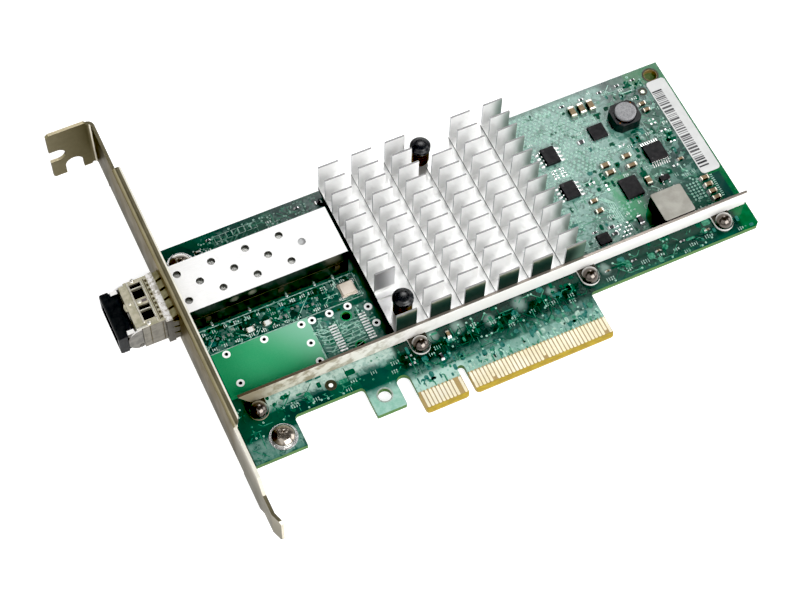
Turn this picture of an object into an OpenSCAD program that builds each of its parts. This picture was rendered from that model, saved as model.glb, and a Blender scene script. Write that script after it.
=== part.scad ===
// Network interface card with one plug-in optical port.
// Frame: X runs from the bracket to the far end of the board, Y from the
// edge-contact tips to the top edge, Z out of the component side.
// X = 0 is the centre of the key notch, Y = 0 the contact tips,
// Z = 0 the solder side of the board.

/* [Board] */
// Thickness of the laminate
board_t = 1.57; // [1.5:0.01:1.7]
// Top edge of the board above the contact tips
board_top = 68.9; // [68.7:0.1:69.1]
// Far end of the board from the key notch
board_end = 88.05; // [87.9:0.05:90]
// Half width of the key notch
key_half = 0.95; // [0.9:0.01:1]
// Radius of the hold-down tab's hole
tab_hole_r = 1.7; // [1.5:0.05:1.8]
// Radius of the tooling hole in the far corner
tool_hole_r = 1.8; // [1.5:0.05:1.9]

/* [Bracket] */
// Sheet thickness of the bracket
sheet = 0.86; // [0.8:0.01:0.9]
// Outer face of the bracket
bracket_x = -59; // [-59.2:0.05:-58.9]
// Lower long edge of the bracket, below the solder side
bracket_z0 = -2.02; // [-2.1:0.01:-2]
// Upper long edge of the bracket
bracket_z1 = 16.4; // [16.2:0.05:16.6]
// Top of the bracket
bracket_top = 103.94; // [103.5:0.01:104]
// Depth of the stiffening folds
fold_d = 2.2; // [1.9:0.05:2.3]

/* [Heat sink] */
// Thickness of one fin
fin_t = 0.45; // [0.35:0.05:0.8]
// Distance between fin rows
fin_pitch = 4.25; // [4.2:0.01:4.27]
// Length of one fin
fin_len = 5.5; // [5:0.05:5.6]
// Distance between fin columns
col_pitch = 9.27; // [9.2:0.01:9.27]
// Height of the fin tips
fin_top = 14.5; // [13:0.1:15]

/* [Port] */
// Centre line of the cage
cage_y = 51.2; // [51.1:0.05:51.25]
// Outside width of the cage
cage_w = 14.2; // [14.1:0.05:14.2]
// Top of the cage
cage_top = 11.35; // [11.3:0.05:11.5]
// Sheet thickness of the cage
cage_sheet = 0.25; // [0.2:0.01:0.25]

/* [Bail] */
// Distance of the bail's pivot in front of the key notch
pivot_x = -68.9; // [-68.95:0.05:-68.85]
// Height of the bail's pivot
pivot_z = 3.9; // [3.85:0.01:3.95]
// Radius of the pivot pin
pin_r = 0.5; // [0.45:0.01:0.5]
// Running clearance of the arms on the pin
pin_gap = 0.05; // [0.03:0.01:0.08]

/* [Stiffener] */
// Thickness of the stiffener's web
bar_t = 0.8; // [0.6:0.05:0.8]
// Top edge of the stiffener
bar_top = 7.4; // [7:0.1:8]

/* [Hidden] */
$fn = 48;
T = board_t;
// Fixing points on the board
screw_at = [[-47, 8.5], [-51.6, 63]];
rivet_at = [[-49.75, 17.1], [-6.4, 17.1], [40.9, 17.1], [79.7, 17.1]];
pin_at = [[15.6, 64.5], [-7.2, 26.2]];
// Through holes of the unused second port
spare_y = 27.9;
spare_holes = [[-50.9, 34.8], [-40.8, 34.8], [-30.8, 34.8], [-27.9, 34.8],
  [-23.2, 34.8], [-18.2, 34.8], [-30.7, 29.1], [-30.7, 23.6],
  [-50.8, 26.1], [-13.6, 32.6], [-13.6, 27.6]];
cage_pins = [-50.9, -40.8, -30.8, -23.2, -18.2];
// Transceiver centre line and its two fibre ports
tr_y = 51.3;
port_at = [48.15, 54.45];
port_z = 6.9;
latch_x = -58.5;
latch_z = 2.9;
fin_x0 = -11.5;
fin_y0 = 67.58;

// Extrudes an outline drawn in X, Z along Y from y0 to y1
module along_y(y0, y1) translate([0, y1, 0]) rotate([90, 0, 0])
  linear_extrude(y1 - y0) children();
// Extrudes an outline drawn in Y, Z along X from x0 to x1
module along_x(x0, x1) translate([x0, 0, 0]) rotate([90, 0, 90])
  linear_extrude(x1 - x0) children();
// Box from corner to corner
module block(a, b) translate(a) cube(b - a);
// Cylinder along Z between two heights
module post(x, y, r, z0, z1) translate([x, y, z0])
  cylinder(r = r, h = z1 - z0);
// Cylinder along X between two places
module rod_x(y, z, r, x0, x1) translate([x0, y, z]) rotate([0, 90, 0])
  cylinder(r = r, h = x1 - x0);
// Cylinder along Y between two places
module rod_y(x, z, r, y0, y1) translate([x, y1, z]) rotate([90, 0, 0])
  cylinder(r = r, h = y1 - y0);

module circuit_board() color("seagreen") difference() {
  union() {
    linear_extrude(T) polygon([
      [-56, 4], [-42.5, 4], [-42.5, 12.6], [-24, 12.6], [-24, 4.2],
      [-23.8, 4], [-16.3, 4], [-16.1, 4.2], [-16.1, 9.9], [-12.5, 9.9],
      [-12.5, 0.9], [-12.25, 0.25], [-11.6, 0], [-key_half - 0.9, 0],
      [-key_half - 0.25, 0.25], [-key_half, 0.9],
      [-key_half, 7.3], [key_half, 7.3], [key_half, 0.9],
      [key_half + 0.25, 0.25], [key_half + 0.9, 0], [38.05, 0],
      [38.7, 0.25], [38.95, 0.9], [38.95, 12.98],
      [board_end - 0.8, 12.98], [board_end, 13.78],
      [board_end, board_top], [-56, board_top]]);
    // Fillets of the inner corners
    for (c = [[-42.5, 12.6, 0, 1.2], [38.95, 12.98, 0, 1]])
      difference() {
        block([c[0] - 0.1, c[1] - c[3], 0], [c[0] + c[3], c[1] + 0.1, T]);
        post(c[0] + c[3], c[1] - c[3], c[3], -1, T + 1);
      }
    difference() {
      block([-25, 11.6, 0], [-23.9, 12.7, T]);
      post(-25, 11.6, 1, -1, T + 1);
    }
  }
  // Round-topped slot beside the hold-down tab
  post(-14.3, 9.9, 1.8, -1, T + 1);
  // Round top of the key notch
  post(0, 7.3, key_half, -1, T + 1);
  // Bevels of the contact edge
  for (s = [0, 1]) translate([0, 0, s * T]) mirror([0, 0, s])
    along_x(-14, 40) polygon([[-1, 1.1], [-1, -0.5], [0.95, -0.5], [0.95, 0],
      [0, 0.45]]);
  post(-20.1, 8.56, tab_hole_r, -1, T + 1);
  post(84.7, 65.7, tool_hole_r, -1, T + 1);
  post(-31, 16.4, 0.6, -1, T + 1);
  for (p = screw_at) post(p[0], p[1], 1.65, -1, T + 1);
  for (p = rivet_at) post(p[0], p[1], 1.3, -1, T + 1);
  for (p = pin_at) post(p[0], p[1], 1.6, -1, T + 1);
  for (p = spare_holes) post(p[0], p[1], 0.5, -1, T + 1);
  post(-20.7, 34.8, 0.4, -1, T + 1);
  for (y = [23.4, 32.4]) post(-19.7, y, 1.15, -1, T + 1);
  for (x = cage_pins, s = [-1, 1])
    post(x, cage_y + s * (cage_w / 2 - 0.13), 0.55, -1, T + 1);
  for (y = [-4.5, 4.5]) post(-19.7, cage_y + y, 0.85, -1, T + 1);
}

module mounting_bracket() color("silver") {
  x0 = bracket_x;
  x1 = bracket_x + sheet;
  xf = bracket_x + fold_d;
  z0 = bracket_z0;
  z1 = bracket_z1;
  ri = 0.24;
  ro = ri + sheet;
  // Wider bend of the screw tab
  rt = 1;
  yb = bracket_top - rt - sheet;
  difference() {
    union() {
      // Flat plate
      along_x(x0, x1) polygon([[-5, z0], [5, z0], [5, z0 + ro],
        [94.5, z0 + ro], [94.5, z0], [95.3, -1.2], [yb, -1.2],
        [yb, 15.7], [87.4, 15.7], [87.4, z1 - ro], [9, z1 - ro], [9, 15.9],
        [-5, 15.9], [-8, 11.7], [-8, 1.5]]);
      // Tail, its tip set inwards
      difference() {
        along_z(1.5, 11.7) polygon([[x0, -7.9], [x1, -7.9], [x1, -12.9],
          [x1 + 0.95, -15.9], [x0 + 1.1, -16.08], [x0, -13.1]]);
        for (z = [1.5, 11.7]) translate([x0 + 1, -16.1, z])
          rotate([45, 0, 0]) cube([4, 1, 1], center = true);
      }
      // Fold along the upper long edge
      intersection() {
        along_y(8, 88) fold_profile(x0, xf, z1, -1, ri, ro);
        along_z(z1 - 3, z1 + 1) polygon([[x0 - 1, 9], [x0 + ro, 9],
          [xf, 11.2], [xf + 1, 11.2], [xf + 1, 87.4], [x0 - 1, 87.4]]);
      }
      // Fold along the lower long edge
      along_y(5, 94.5) fold_profile(x0, xf, z0, 1, ri, ro);
      // Board tabs, stepped up to the solder side
      for (t = [[5.3, -43.6], [59.8, -48.4]])
        along_y(t[0], t[0] + 6.4) polygon([[x1 + 0.3, z0], [-55.6, z0],
          [-54.2, -sheet], [t[1], -sheet], [t[1], 0], [-54.6, 0],
          [-56, z0 + sheet], [x1 + 0.3, z0 + sheet]]);
      for (p = screw_at) post(p[0], p[1], 2.3, z0 + 0.02, -0.4);
      // Screw tab at the top, with its bend
      along_z(-1.2, 15.7) difference() {
        intersection() {
          translate([x0 - rt, yb]) circle(r = rt + sheet);
          translate([x0 - rt, yb]) square(rt + sheet);
        }
        translate([x0 - rt, yb]) circle(r = rt);
      }
      translate([0, bracket_top, 0]) rotate([90, 0, 0])
        linear_extrude(sheet) polygon([[x0 - rt, -1.2], [x0 - 1.5, -1.9],
          [-70.4, -1.9], [-70.9, -1.4], [-70.9, 15.6], [-70.1, z1],
          [x0 - 1.5, z1], [x0 - rt, 15.7]]);
    }
    // Window for the cage
    block([x0 - 1, cage_y - 7.6, 1], [x1 + 1, cage_y + 7.6, 12.3]);
    // Screw slot, open at the free end, and the relief beside it
    rod_y(-68.85, 6.85, 2.2, bracket_top - 3, bracket_top + 1);
    block([-72, bracket_top - 3, 4.65], [-68.85, bracket_top + 1, 9.05]);
    rod_y(-64.9, 1.2, 2.4, bracket_top - 3, bracket_top + 1);
    block([-67.3, bracket_top - 3, -3], [-62.5, bracket_top + 1, 1.2]);
    for (p = screw_at) post(p[0], p[1], 1.5, -5, 1);
  }
}
// Extrudes an outline drawn in X, Y along Z
module along_z(z0, z1) translate([0, 0, z0]) linear_extrude(z1 - z0)
  children();
// Bend and leg of a stiffening fold, drawn in X, Z; s turns it to +Z or -Z
module fold_profile(x0, xf, ze, s, ri, ro) {
  difference() {
    intersection() {
      translate([x0 + ro, ze + s * ro]) circle(r = ro);
      translate([x0, s > 0 ? ze : ze - ro]) square(ro);
    }
    translate([x0 + ro, ze + s * ro]) circle(r = ri);
  }
  translate([x0 + ro - 0.01, s > 0 ? ze : ze - (ro - ri)])
    square([xf - x0 - ro + 0.01, ro - ri]);
}

module bracket_screws() color("silver") for (p = screw_at)
  translate([p[0], p[1], 0]) difference() {
    union() {
      post(0, 0, 1.5, bracket_z0 + 0.02, T + 0.1);
      // Domed pan head
      intersection() {
        post(0, 0, 2.9, T, T + 2.2);
        translate([0, 0, T - 2.1]) sphere(r = 4.2);
      }
    }
    // Cross recess
    for (a = [20, 110]) rotate(a) block([-1.7, -0.32, T + 1],
      [1.7, 0.32, T + 3]);
    post(0, 0, 0.7, T + 0.8, T + 3);
  }

module cage_shell() color("gainsboro") {
  y0 = cage_y - cage_w / 2;
  y1 = cage_y + cage_w / 2;
  s = cage_sheet;
  difference() {
    block([-61.9, y0, T], [-13.85, y1, cage_top]);
    block([-70, y0 + s, T - 1], [-13.85 - s, y1 - s, cage_top - s]);
    // Vent holes of the top
    for (i = [0:3]) {
      post(-50.4 + i * 9.07, cage_y + 0.1, 1, 9, 13);
      for (y = [-3.9, 4.1]) post(-54.9 + i * 9.07, cage_y + y, 1, 9, 13);
    }
  }
  // Press-in pins of both sides
  for (x = cage_pins, y = [y0, y1 - s])
    block([x - 0.4, y, -0.9], [x + 0.4, y + s, T + 0.01]);
}

module cage_floor() color("gainsboro") difference() {
  block([-61.9, cage_y - cage_w / 2 + cage_sheet, T],
    [-25.2, cage_y + cage_w / 2 - cage_sheet, T + cage_sheet]);
  // Hole for the latch's lug
  block([-52.6, tr_y - 1.6, T - 1], [-49.3, tr_y + 1.6, T + 1]);
}

module spring_collar() color("silver") {
  y0 = cage_y - cage_w / 2;
  y1 = cage_y + cage_w / 2;
  g = 0.25;
  difference() {
    block([-62.15, y0 - g, T - g], [-60.4, y1 + g, cage_top + g]);
    block([-61.9, y0, T], [-60, y1, cage_top]);
    block([-63, y0 + cage_sheet, T + cage_sheet],
      [-60, y1 - cage_sheet, cage_top - cage_sheet]);
  }
  // Spring fingers: four or five on each side, bulging to the window's rim
  for (i = [0:4]) {
    yc = cage_y + (i - 2) * 2.85;
    along_y(yc - 1.1, yc + 1.1) finger(cage_top, 1, 12.29 - cage_top);
    along_y(yc - 1.1, yc + 1.1) finger(T, -1, T - 1.01);
  }
  for (i = [0:2]) {
    zc = (T + cage_top) / 2 + (i - 1) * 2.9;
    along_z(zc - 1.1, zc + 1.1) finger(y1, 1, 0.49);
    along_z(zc - 1.1, zc + 1.1) finger(y0, -1, 0.49);
  }
}
// One finger's section: s turns it up or down, h is its rise
module finger(base, s, h) polygon([[-60.5, base], [-60.5, base + s * 0.25],
  [-59.2, base + s * h], [-58.2, base + s * h], [-56.9, base + s * 0.12],
  [-56.9, base + s * 0.01], [-58.3, base + s * (h - 0.16)],
  [-59.1, base + s * (h - 0.16)]]);

module host_connector() color("#222222") difference() {
  union() {
    block([-23.2, cage_y - 6.1, T], [-16.4, cage_y + 6.1, 7.2]);
    for (y = [-4.5, 4.5]) post(-19.7, cage_y + y, 0.8, 0.1, T + 0.2);
  }
  block([-24, cage_y - 5.1, 4.5], [-18.6, cage_y + 5.5, 5.7]);
  for (x = [-23.3, -17.1]) block([x, cage_y - 4.6, T - 1],
    [x + 0.8, cage_y + 4.6, 3.2]);
}

module connector_contacts() color("gold") for (i = [0:9], s = [0, 1]) {
  y = cage_y + (i - 4.5) * 0.8;
  translate([s ? -39.6 : 0, 0, 0]) mirror([s, 0, 0])
    along_y(y - 0.16, y + 0.16) polygon([[-25, T], [-22.8, T],
      [-22.5, T + 0.3], [-22.5, 3.2], [-22.7, 3.2], [-22.8, T + 0.5],
      [-23, T + 0.2], [-25, T + 0.2]]);
}

module transceiver_housing() color("darkgray") difference() {
  union() {
    // Body inside the cage
    block([-62.2, tr_y - 6.45, 2], [-24.5, tr_y + 6.45, 10.4]);
    // Nose in front of the bracket
    block([-69.5, tr_y - 6.8, 2.4], [-62.16, tr_y + 6.8, 11.8]);
  }
  // Room for the optics and the circuit board
  block([-58, tr_y - 5.75, 4.3], [-24, tr_y + 5.75, 12]);
  for (y = port_at) {
    // Fibre port with the latch room above it
    block([-70, y - 2.35, 4.5], [-60, y + 2.35, 9.3]);
    block([-70, y - 1.6, 9.2], [-61.5, y + 1.6, 10.6]);
    // Latch window in the top
    block([-66.85, y - 1.75, 9.2], [-64.1, y + 0.95, 12.5]);
    block([-66.85, y + 1.4, 9.2], [-64.1, y + 2.55, 12.5]);
    rod_x(y, port_z, 1.5, -61, -57);
  }
  // Recesses for the bail's arms
  for (y = [tr_y - 8, tr_y + 6.18]) block([-70, y, 1], [-68.1, y + 1.82, 13]);
  rod_y(pivot_x, pivot_z, pin_r, tr_y - 9, tr_y + 9);
  // Channel and pivot holes for the latch lever
  block([-68.05, tr_y - 1.4, 1], [-49, tr_y + 1.4, 4]);
  rod_y(latch_x, latch_z, 0.45, tr_y - 2.1, tr_y + 2.1);
}

module transceiver_cover() color("silver") difference() {
  block([-61.7, tr_y - 6.6, 3], [-24.5, tr_y + 6.6, 10.58]);
  block([-62, tr_y - 6.45, 2], [-24, tr_y + 6.45, 10.4]);
}

module transceiver_board() color("darkgreen") {
  block([-46.6, tr_y - 5.1, 4.6], [-25, tr_y + 5.1, 5.6]);
  block([-25.01, tr_y - 4.6, 4.6], [-18.8, tr_y + 4.6, 5.6]);
}

// Barrel with the ferrule's bore, its flange and the sealed can behind
module optics(y, can_r) difference() {
  union() {
    rod_x(y, port_z, 1.45, -62.6, -56.9);
    rod_x(y, port_z, 2.3, -57, -55.8);
    rod_x(y, port_z, can_r, -55.9, -47);
    for (a = [45:90:315]) translate([0, y, port_z]) rotate([a, 0, 0])
      translate([0, 0, 1]) rod_x(0, 0, 0.2, -47.1, -46.6);
  }
  rod_x(y, port_z, 0.63, -63, -58);
}
module transmit_optics() color("silver") optics(port_at[1], 2.4);
module receive_optics() color("silver") optics(port_at[0], 2.3);

module bail_arms() color("silver") for (s = [0, 1])
  translate([0, s * 2 * tr_y, 0]) mirror([0, s, 0]) difference() {
    union() {
      along_y(tr_y - 6.8, tr_y - 6.3) {
        intersection() {
          translate([-68, 7]) circle(r = 4.25);
          union() {
            translate([-72, 3.15]) square([3.1, 8.15]);
            translate([-69, 3.9]) square([0.75, 7.4]);
          }
        }
        translate([pivot_x, pivot_z]) circle(r = 0.72);
      }
      // Ear folded over the grip
      block([-71.8, tr_y - 6.5, 9.3], [-70, tr_y - 6.3, 10.8]);
      block([-71.8, tr_y - 6.5, 10.62], [-70, tr_y - 5.3, 10.8]);
    }
    rod_y(pivot_x, pivot_z, pin_r + pin_gap, tr_y - 9, tr_y);
  }

module bail_grip() color("#181818") difference() {
  union() {
    // Front bar and the part between the arms
    along_y(tr_y - 6.8, tr_y + 6.8) polygon([[-74.4, 3.9], [-74, 3.5],
      [-72.1, 3.5], [-72.1, 10.6], [-74, 10.6], [-74.4, 10.2]]);
    along_y(tr_y - 6.3, tr_y + 6.3) polygon([[-73, 3.5], [-71.4, 3.5],
      [-71.4, 4.8], [-69.8, 5.4], [-69.8, 10.3], [-70.1, 10.6],
      [-73, 10.6]]);
  }
  // Opening for the fibre plugs
  block([-75, tr_y - 5.6, 4.4], [-69, tr_y + 5.6, 9.4]);
  // Seats of the arms' ears
  for (y = [tr_y - 6.4, tr_y + 5.2]) block([-71.85, y, 9.2],
    [-69.75, y + 1.2, 12]);
}

module bail_pin() color("dimgray")
  rod_y(pivot_x, pivot_z, pin_r, tr_y - 6.8, tr_y + 6.8);

module latch_lever() color("gray") {
  along_y(tr_y - 1.15, tr_y + 1.15) polygon([[-67.9, 2.5], [-51.9, 2.5],
    [-50.2, 1.66], [-49.9, 1.66], [-49.9, 3.1], [-67.9, 3.1]]);
  rod_y(latch_x, latch_z, 0.4, tr_y - 2, tr_y + 2);
}

module heat_sink() color("#dedede") difference() {
  // Extruded comb: base and twelve fins
  along_x(fin_x0, fin_x0 + 5 * col_pitch + fin_len) {
    translate([20.6, 3.8]) square([47.4, 1.4]);
    for (k = [0:11]) translate([fin_y0 - fin_pitch * k - fin_t / 2, 5])
      square([fin_t, fin_top - 5]);
  }
  // Cross cuts between the columns
  for (c = [0:4]) block([fin_x0 + c * col_pitch + fin_len, 20, 4.8],
    [fin_x0 + (c + 1) * col_pitch, 70, 20]);
  // Cleared places of the push pins
  block([fin_x0 - 1, 24, 4.8], [fin_x0 + fin_len + 1, 31.5, 20]);
  block([fin_x0 + 3 * col_pitch - 1, 62, 4.8],
    [fin_x0 + 3 * col_pitch + fin_len + 1, 70, 20]);
  for (p = pin_at) post(p[0], p[1], 1.7, 0, 20);
}

module thermal_pad() color("lightgray")
  block([4, 34, 3.55], [25, 55, 3.8]);

module controller_chip() color("#303030") {
  block([2, 32, T + 0.35], [27, 57, T + 0.95]);
  block([4.5, 34.5, T + 0.94], [24.5, 54.5, 3.55]);
  // Solder balls
  for (i = [0:7], j = [0:7]) post(3.9 + i * 3.03, 33.9 + j * 3.03, 0.3, T,
    T + 0.36);
}

module push_pins() color("#101010") for (p = pin_at)
  translate([p[0], p[1], 0]) difference() {
    rotate_extrude() polygon([[0, -1.7], [0.7, -1.7], [1.75, -0.3],
      [1.75, -0.05], [1.35, -0.05], [1.35, 11.2], [2.7, 11.2], [2.7, 12],
      [2.5, 12.25], [2.05, 12.3], [1.85, 12.5], [1.3, 12.7], [0.6, 12.8],
      [0, 12.82]]);
    // Split of the barb
    block([-0.25, -3, -2], [0.25, 3, T]);
  }

// Coil spring: rings of eight points along the helix
module push_pin_springs() color("darkgoldenrod") for (p = pin_at)
  translate([p[0], p[1], 0]) helix(2.15, 0.3, 5.52, 10.88, 5, 18);
module helix(r, w, z0, z1, turns, n) {
  steps = turns * n;
  rings = [for (i = [0:steps]) let (a = 360 * i / n,
    z = z0 + (z1 - z0) * i / steps) [for (k = [0:7]) let (b = 45 * k)
    [(r + w * cos(b)) * cos(a), (r + w * cos(b)) * sin(a),
      z + w * sin(b)]]];
  pts = [for (q = rings) each q];
  side = [for (i = [0:steps - 1], k = [0:7]) let (m = (k + 1) % 8)
    [i * 8 + k, i * 8 + m, (i + 1) * 8 + m, (i + 1) * 8 + k]];
  polyhedron(pts, concat(side, [[7, 6, 5, 4, 3, 2, 1, 0]],
    [[for (k = [0:7]) steps * 8 + k]]));
}

module stiffener_bar() color("darkgray") difference() {
  union() {
    along_y(19.8, 19.8 + bar_t) polygon([[-50.4, T + 0.2],
      [87.4, T + 0.2], [87.4, bar_top], [-53.8, bar_top]]);
    // Feet under the rivets
    for (p = rivet_at) {
      block([p[0] - 2.5, p[1], T], [p[0] + 2.5, 20, T + 0.8]);
      post(p[0], p[1], 2.5, T, T + 0.8);
      block([p[0] - 2.5, 19.8, T], [p[0] + 2.5, 19.8 + bar_t, T + 0.8]);
    }
  }
  for (p = rivet_at) post(p[0], p[1], 1.25, 0, 5);
}

module stiffener_rivets() color("lightgray") for (p = rivet_at)
  translate([p[0], p[1], 0]) {
    post(0, 0, 1.25, -0.6, T + 0.9);
    post(0, 0, 1.9, -0.7, -0.01);
    intersection() {
      post(0, 0, 2.35, T + 0.8, T + 3.2);
      translate([0, 0, T + 0.65]) sphere(r = 2.42);
    }
  }

module round_inductor_base() color("#3a3a3a") translate([71.3, 55.8, 0])
  difference() {
    along_z(T + 0.1, T + 3.4) polygon([[-2.4, -3.6], [2.4, -3.6],
      [3.8, -2.2], [3.8, 2.2], [2.4, 3.6], [-2.4, 3.6], [-3.8, 2.2],
      [-3.8, -2.2]]);
    post(0, 0, 2.9, T + 0.6, T + 5);
  }

module round_inductor_core() color("#8a8a8a") translate([71.3, 55.8, 0])
  rotate_extrude() polygon([[0, T + 0.6], [2.75, T + 0.6], [2.75, T + 1.1],
    [1.6, T + 1.3], [1.6, T + 3.3], [2.85, T + 3.5], [2.85, T + 4.3],
    [2.65, T + 4.5], [0, T + 4.5]]);

module square_inductor() color("#5a5a5a") {
  along_z(T + 0.15, T + 5.5) polygon([[64.5, 21], [72.6, 21], [73, 21.4],
    [73, 29.4], [72.6, 29.8], [64.5, 29.8], [64.1, 29.4], [64.1, 21.4]]);
}

module inductor_terminals() color("silver") {
  for (y = [20.7, 28.6]) block([66.4, y, T], [70.7, y + 1.5, T + 0.15]);
  for (x = [67.3, 74.2]) block([x, 54.6, T], [x + 1.1, 57, T + 0.1]);
}

// Body of a moulded package, its sides drawn in to the top
module package(x0, y0, x1, y1, z0, z1) {
  m = (z0 + z1) / 2;
  block([x0 + 0.05, y0 + 0.05, z0], [x1 - 0.05, y1 - 0.05, z1]);
  block([x0, y0, m - 0.15], [x1, y1, m + 0.15]);
}
// Bodies of the packages with leads: x0, y0, x1, y1
soics = [[46.1, 50.8, 50, 55.7], [46, 39.3, 49.9, 44.2]];
gull = [71.3, 40.7, 76.5, 45.9];
module eight_lead_chips() color("#202020") for (c = soics) difference() {
  package(c[0], c[1], c[2], c[3], T + 0.12, T + 1.5);
  post(c[0] + 0.8, c[3] - 0.8, 0.3, T + 1.42, T + 2);
}
module gull_wing_chip() color("#202020") difference() {
  package(gull[0], gull[1], gull[2], gull[3], T + 0.1, T + 1.1);
  post(gull[0] + 0.7, gull[1] + 0.7, 0.25, T + 1.02, T + 2);
}
module leadless_chips() color("#202020") for (c = [
    [60.9, 53, 65.2, 57.2, 0.9], [60.5, 33.2, 65.5, 39.2, 0.95],
    [47.6, 23.9, 51, 26.9, 0.8]])
  block([c[0], c[1], T], [c[2], c[3], T + c[4]]);
module small_transistors() color("#202020")
  package(70.9, 34.5, 73.7, 35.9, T + 0.08, T + 1.0);

// One gull-wing lead leaving the point x, y towards the angle a
module lead(x, y, a, w, h, out) translate([x, y, 0]) rotate(a)
  along_y(-w / 2, w / 2) polygon([[0, T + h], [0.3, T + h],
    [0.45, T + 0.2], [out, T + 0.18], [out, T], [0.35, T],
    [0.15, T + h - 0.18], [0, T + h - 0.18]]);
module chip_leads() color("silver") {
  for (c = soics, i = [0:3]) {
    y = (c[1] + c[3]) / 2 + (i - 1.5) * 1.27;
    lead(c[2], y, 0, 0.42, 0.9, 1.1);
    lead(c[0], y, 180, 0.42, 0.9, 1.1);
  }
  for (i = [0:7]) {
    x = (gull[0] + gull[2]) / 2 + (i - 3.5) * 0.65;
    lead(x, gull[3], 90, 0.25, 0.68, 1.2);
    lead(x, gull[1], -90, 0.25, 0.68, 1.2);
  }
  for (x = [71.4, 73.2]) lead(x, 34.5, -90, 0.4, 0.6, 0.6);
  lead(72.3, 35.9, 90, 0.4, 0.6, 0.6);
}

// Chip parts as centre x, y, length in x, length in y, height
capacitors = [
  [59.7, 63, 1.7, 3.2, 1.6], [62.4, 63, 1.7, 3.2, 1.6],
  [65.1, 63, 1.7, 3.2, 1.6], [59.9, 44.9, 2.6, 1.4, 1.1],
  [60.1, 42.4, 2.7, 1.3, 1.1], [66.3, 45.2, 2.6, 1.3, 1.1],
  [66.3, 42.1, 2.8, 1.2, 1.1], [78.05, 58.2, 1.9, 1.1, 0.9],
  [78.25, 56, 1.9, 1.1, 0.9], [52.2, 36.5, 2.1, 1.2, 0.9],
  [52.2, 33.3, 2.1, 1.3, 0.9], [81.8, 31, 2.3, 1.25, 0.9],
  [81.8, 28.8, 2.3, 1.25, 0.9], [81.8, 26.6, 2.3, 1.25, 0.9],
  [81.8, 24.5, 2.3, 1.25, 0.9], [68.1, 36.2, 1.6, 2.3, 1],
  [-42.9, 38.6, 2, 1.3, 0.8], [-38.3, 38.6, 2, 1.3, 0.8],
  [-46.3, 64.7, 1, 0.5, 0.5], [79, 38.8, 1.6, 0.8, 0.7],
  [1.2, 17.2, 1, 1.6, 0.6], [45.9, 16.8, 1, 0.5, 0.5],
  [60.4, 16.7, 1, 0.5, 0.5], [74.9, 17, 1, 0.5, 0.5]];
resistors = [[57.7, 54.1, 1.7, 1.1, 0.5], [60.6, 26.7, 1.3, 2.6, 0.55],
  [-2.9, 12.3, 0.8, 1.6, 0.45], [-12.6, 65.6, 1.6, 1, 0.5],
  [58.2, 66.2, 1.2, 0.6, 0.35], [63.9, 66.2, 1.2, 0.6, 0.35],
  [69.4, 66.2, 1.2, 0.6, 0.35], [74.7, 66.2, 1.2, 0.6, 0.35],
  [79.4, 66.2, 1.2, 0.6, 0.35], [48.2, 28.1, 1.2, 0.6, 0.35],
  [52.8, 27.8, 1.6, 0.8, 0.45], [52.8, 25.7, 1.6, 0.8, 0.45],
  [53.4, 16.8, 1, 0.5, 0.35], [67.4, 16.7, 1, 0.5, 0.35],
  [-18.4, 66.4, 1, 0.5, 0.35], [-42.6, 66.8, 1, 0.5, 0.35]];
module chips(list) for (c = list)
  block([c[0] - c[2] / 2, c[1] - c[3] / 2, T],
    [c[0] + c[2] / 2, c[1] + c[3] / 2, T + c[4]]);
module ceramic_capacitors() color("tan") chips(capacitors);
module chip_resistors() color("#303030") chips(resistors);

module crystal_can() color("whitesmoke") {
  block([-18.3, 37.3, T], [-14.2, 41.2, T + 0.35]);
  block([-18.05, 37.55, T + 0.34], [-14.45, 40.95, T + 1]);
}

module board_label() color("white") {
  block([83.1, 32.3, T], [86.6, 63.8, T + 0.1]);
  block([82.1, 33.3, T], [87.6, 62.8, T + 0.1]);
  for (x = [83.1, 86.6], y = [33.3, 62.8]) post(x, y, 1, T, T + 0.1);
}

circuit_board();
mounting_bracket();
bracket_screws();
cage_shell();
cage_floor();
spring_collar();
host_connector();
connector_contacts();
transceiver_housing();
transceiver_cover();
transceiver_board();
transmit_optics();
receive_optics();
bail_arms();
bail_grip();
bail_pin();
latch_lever();
heat_sink();
thermal_pad();
controller_chip();
push_pins();
push_pin_springs();
stiffener_bar();
stiffener_rivets();
round_inductor_base();
round_inductor_core();
square_inductor();
inductor_terminals();
eight_lead_chips();
gull_wing_chip();
leadless_chips();
small_transistors();
chip_leads();
ceramic_capacitors();
chip_resistors();
crystal_can();
board_label();
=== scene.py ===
import math
import random

import bmesh
import bpy
from mathutils import Matrix, Vector


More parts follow.
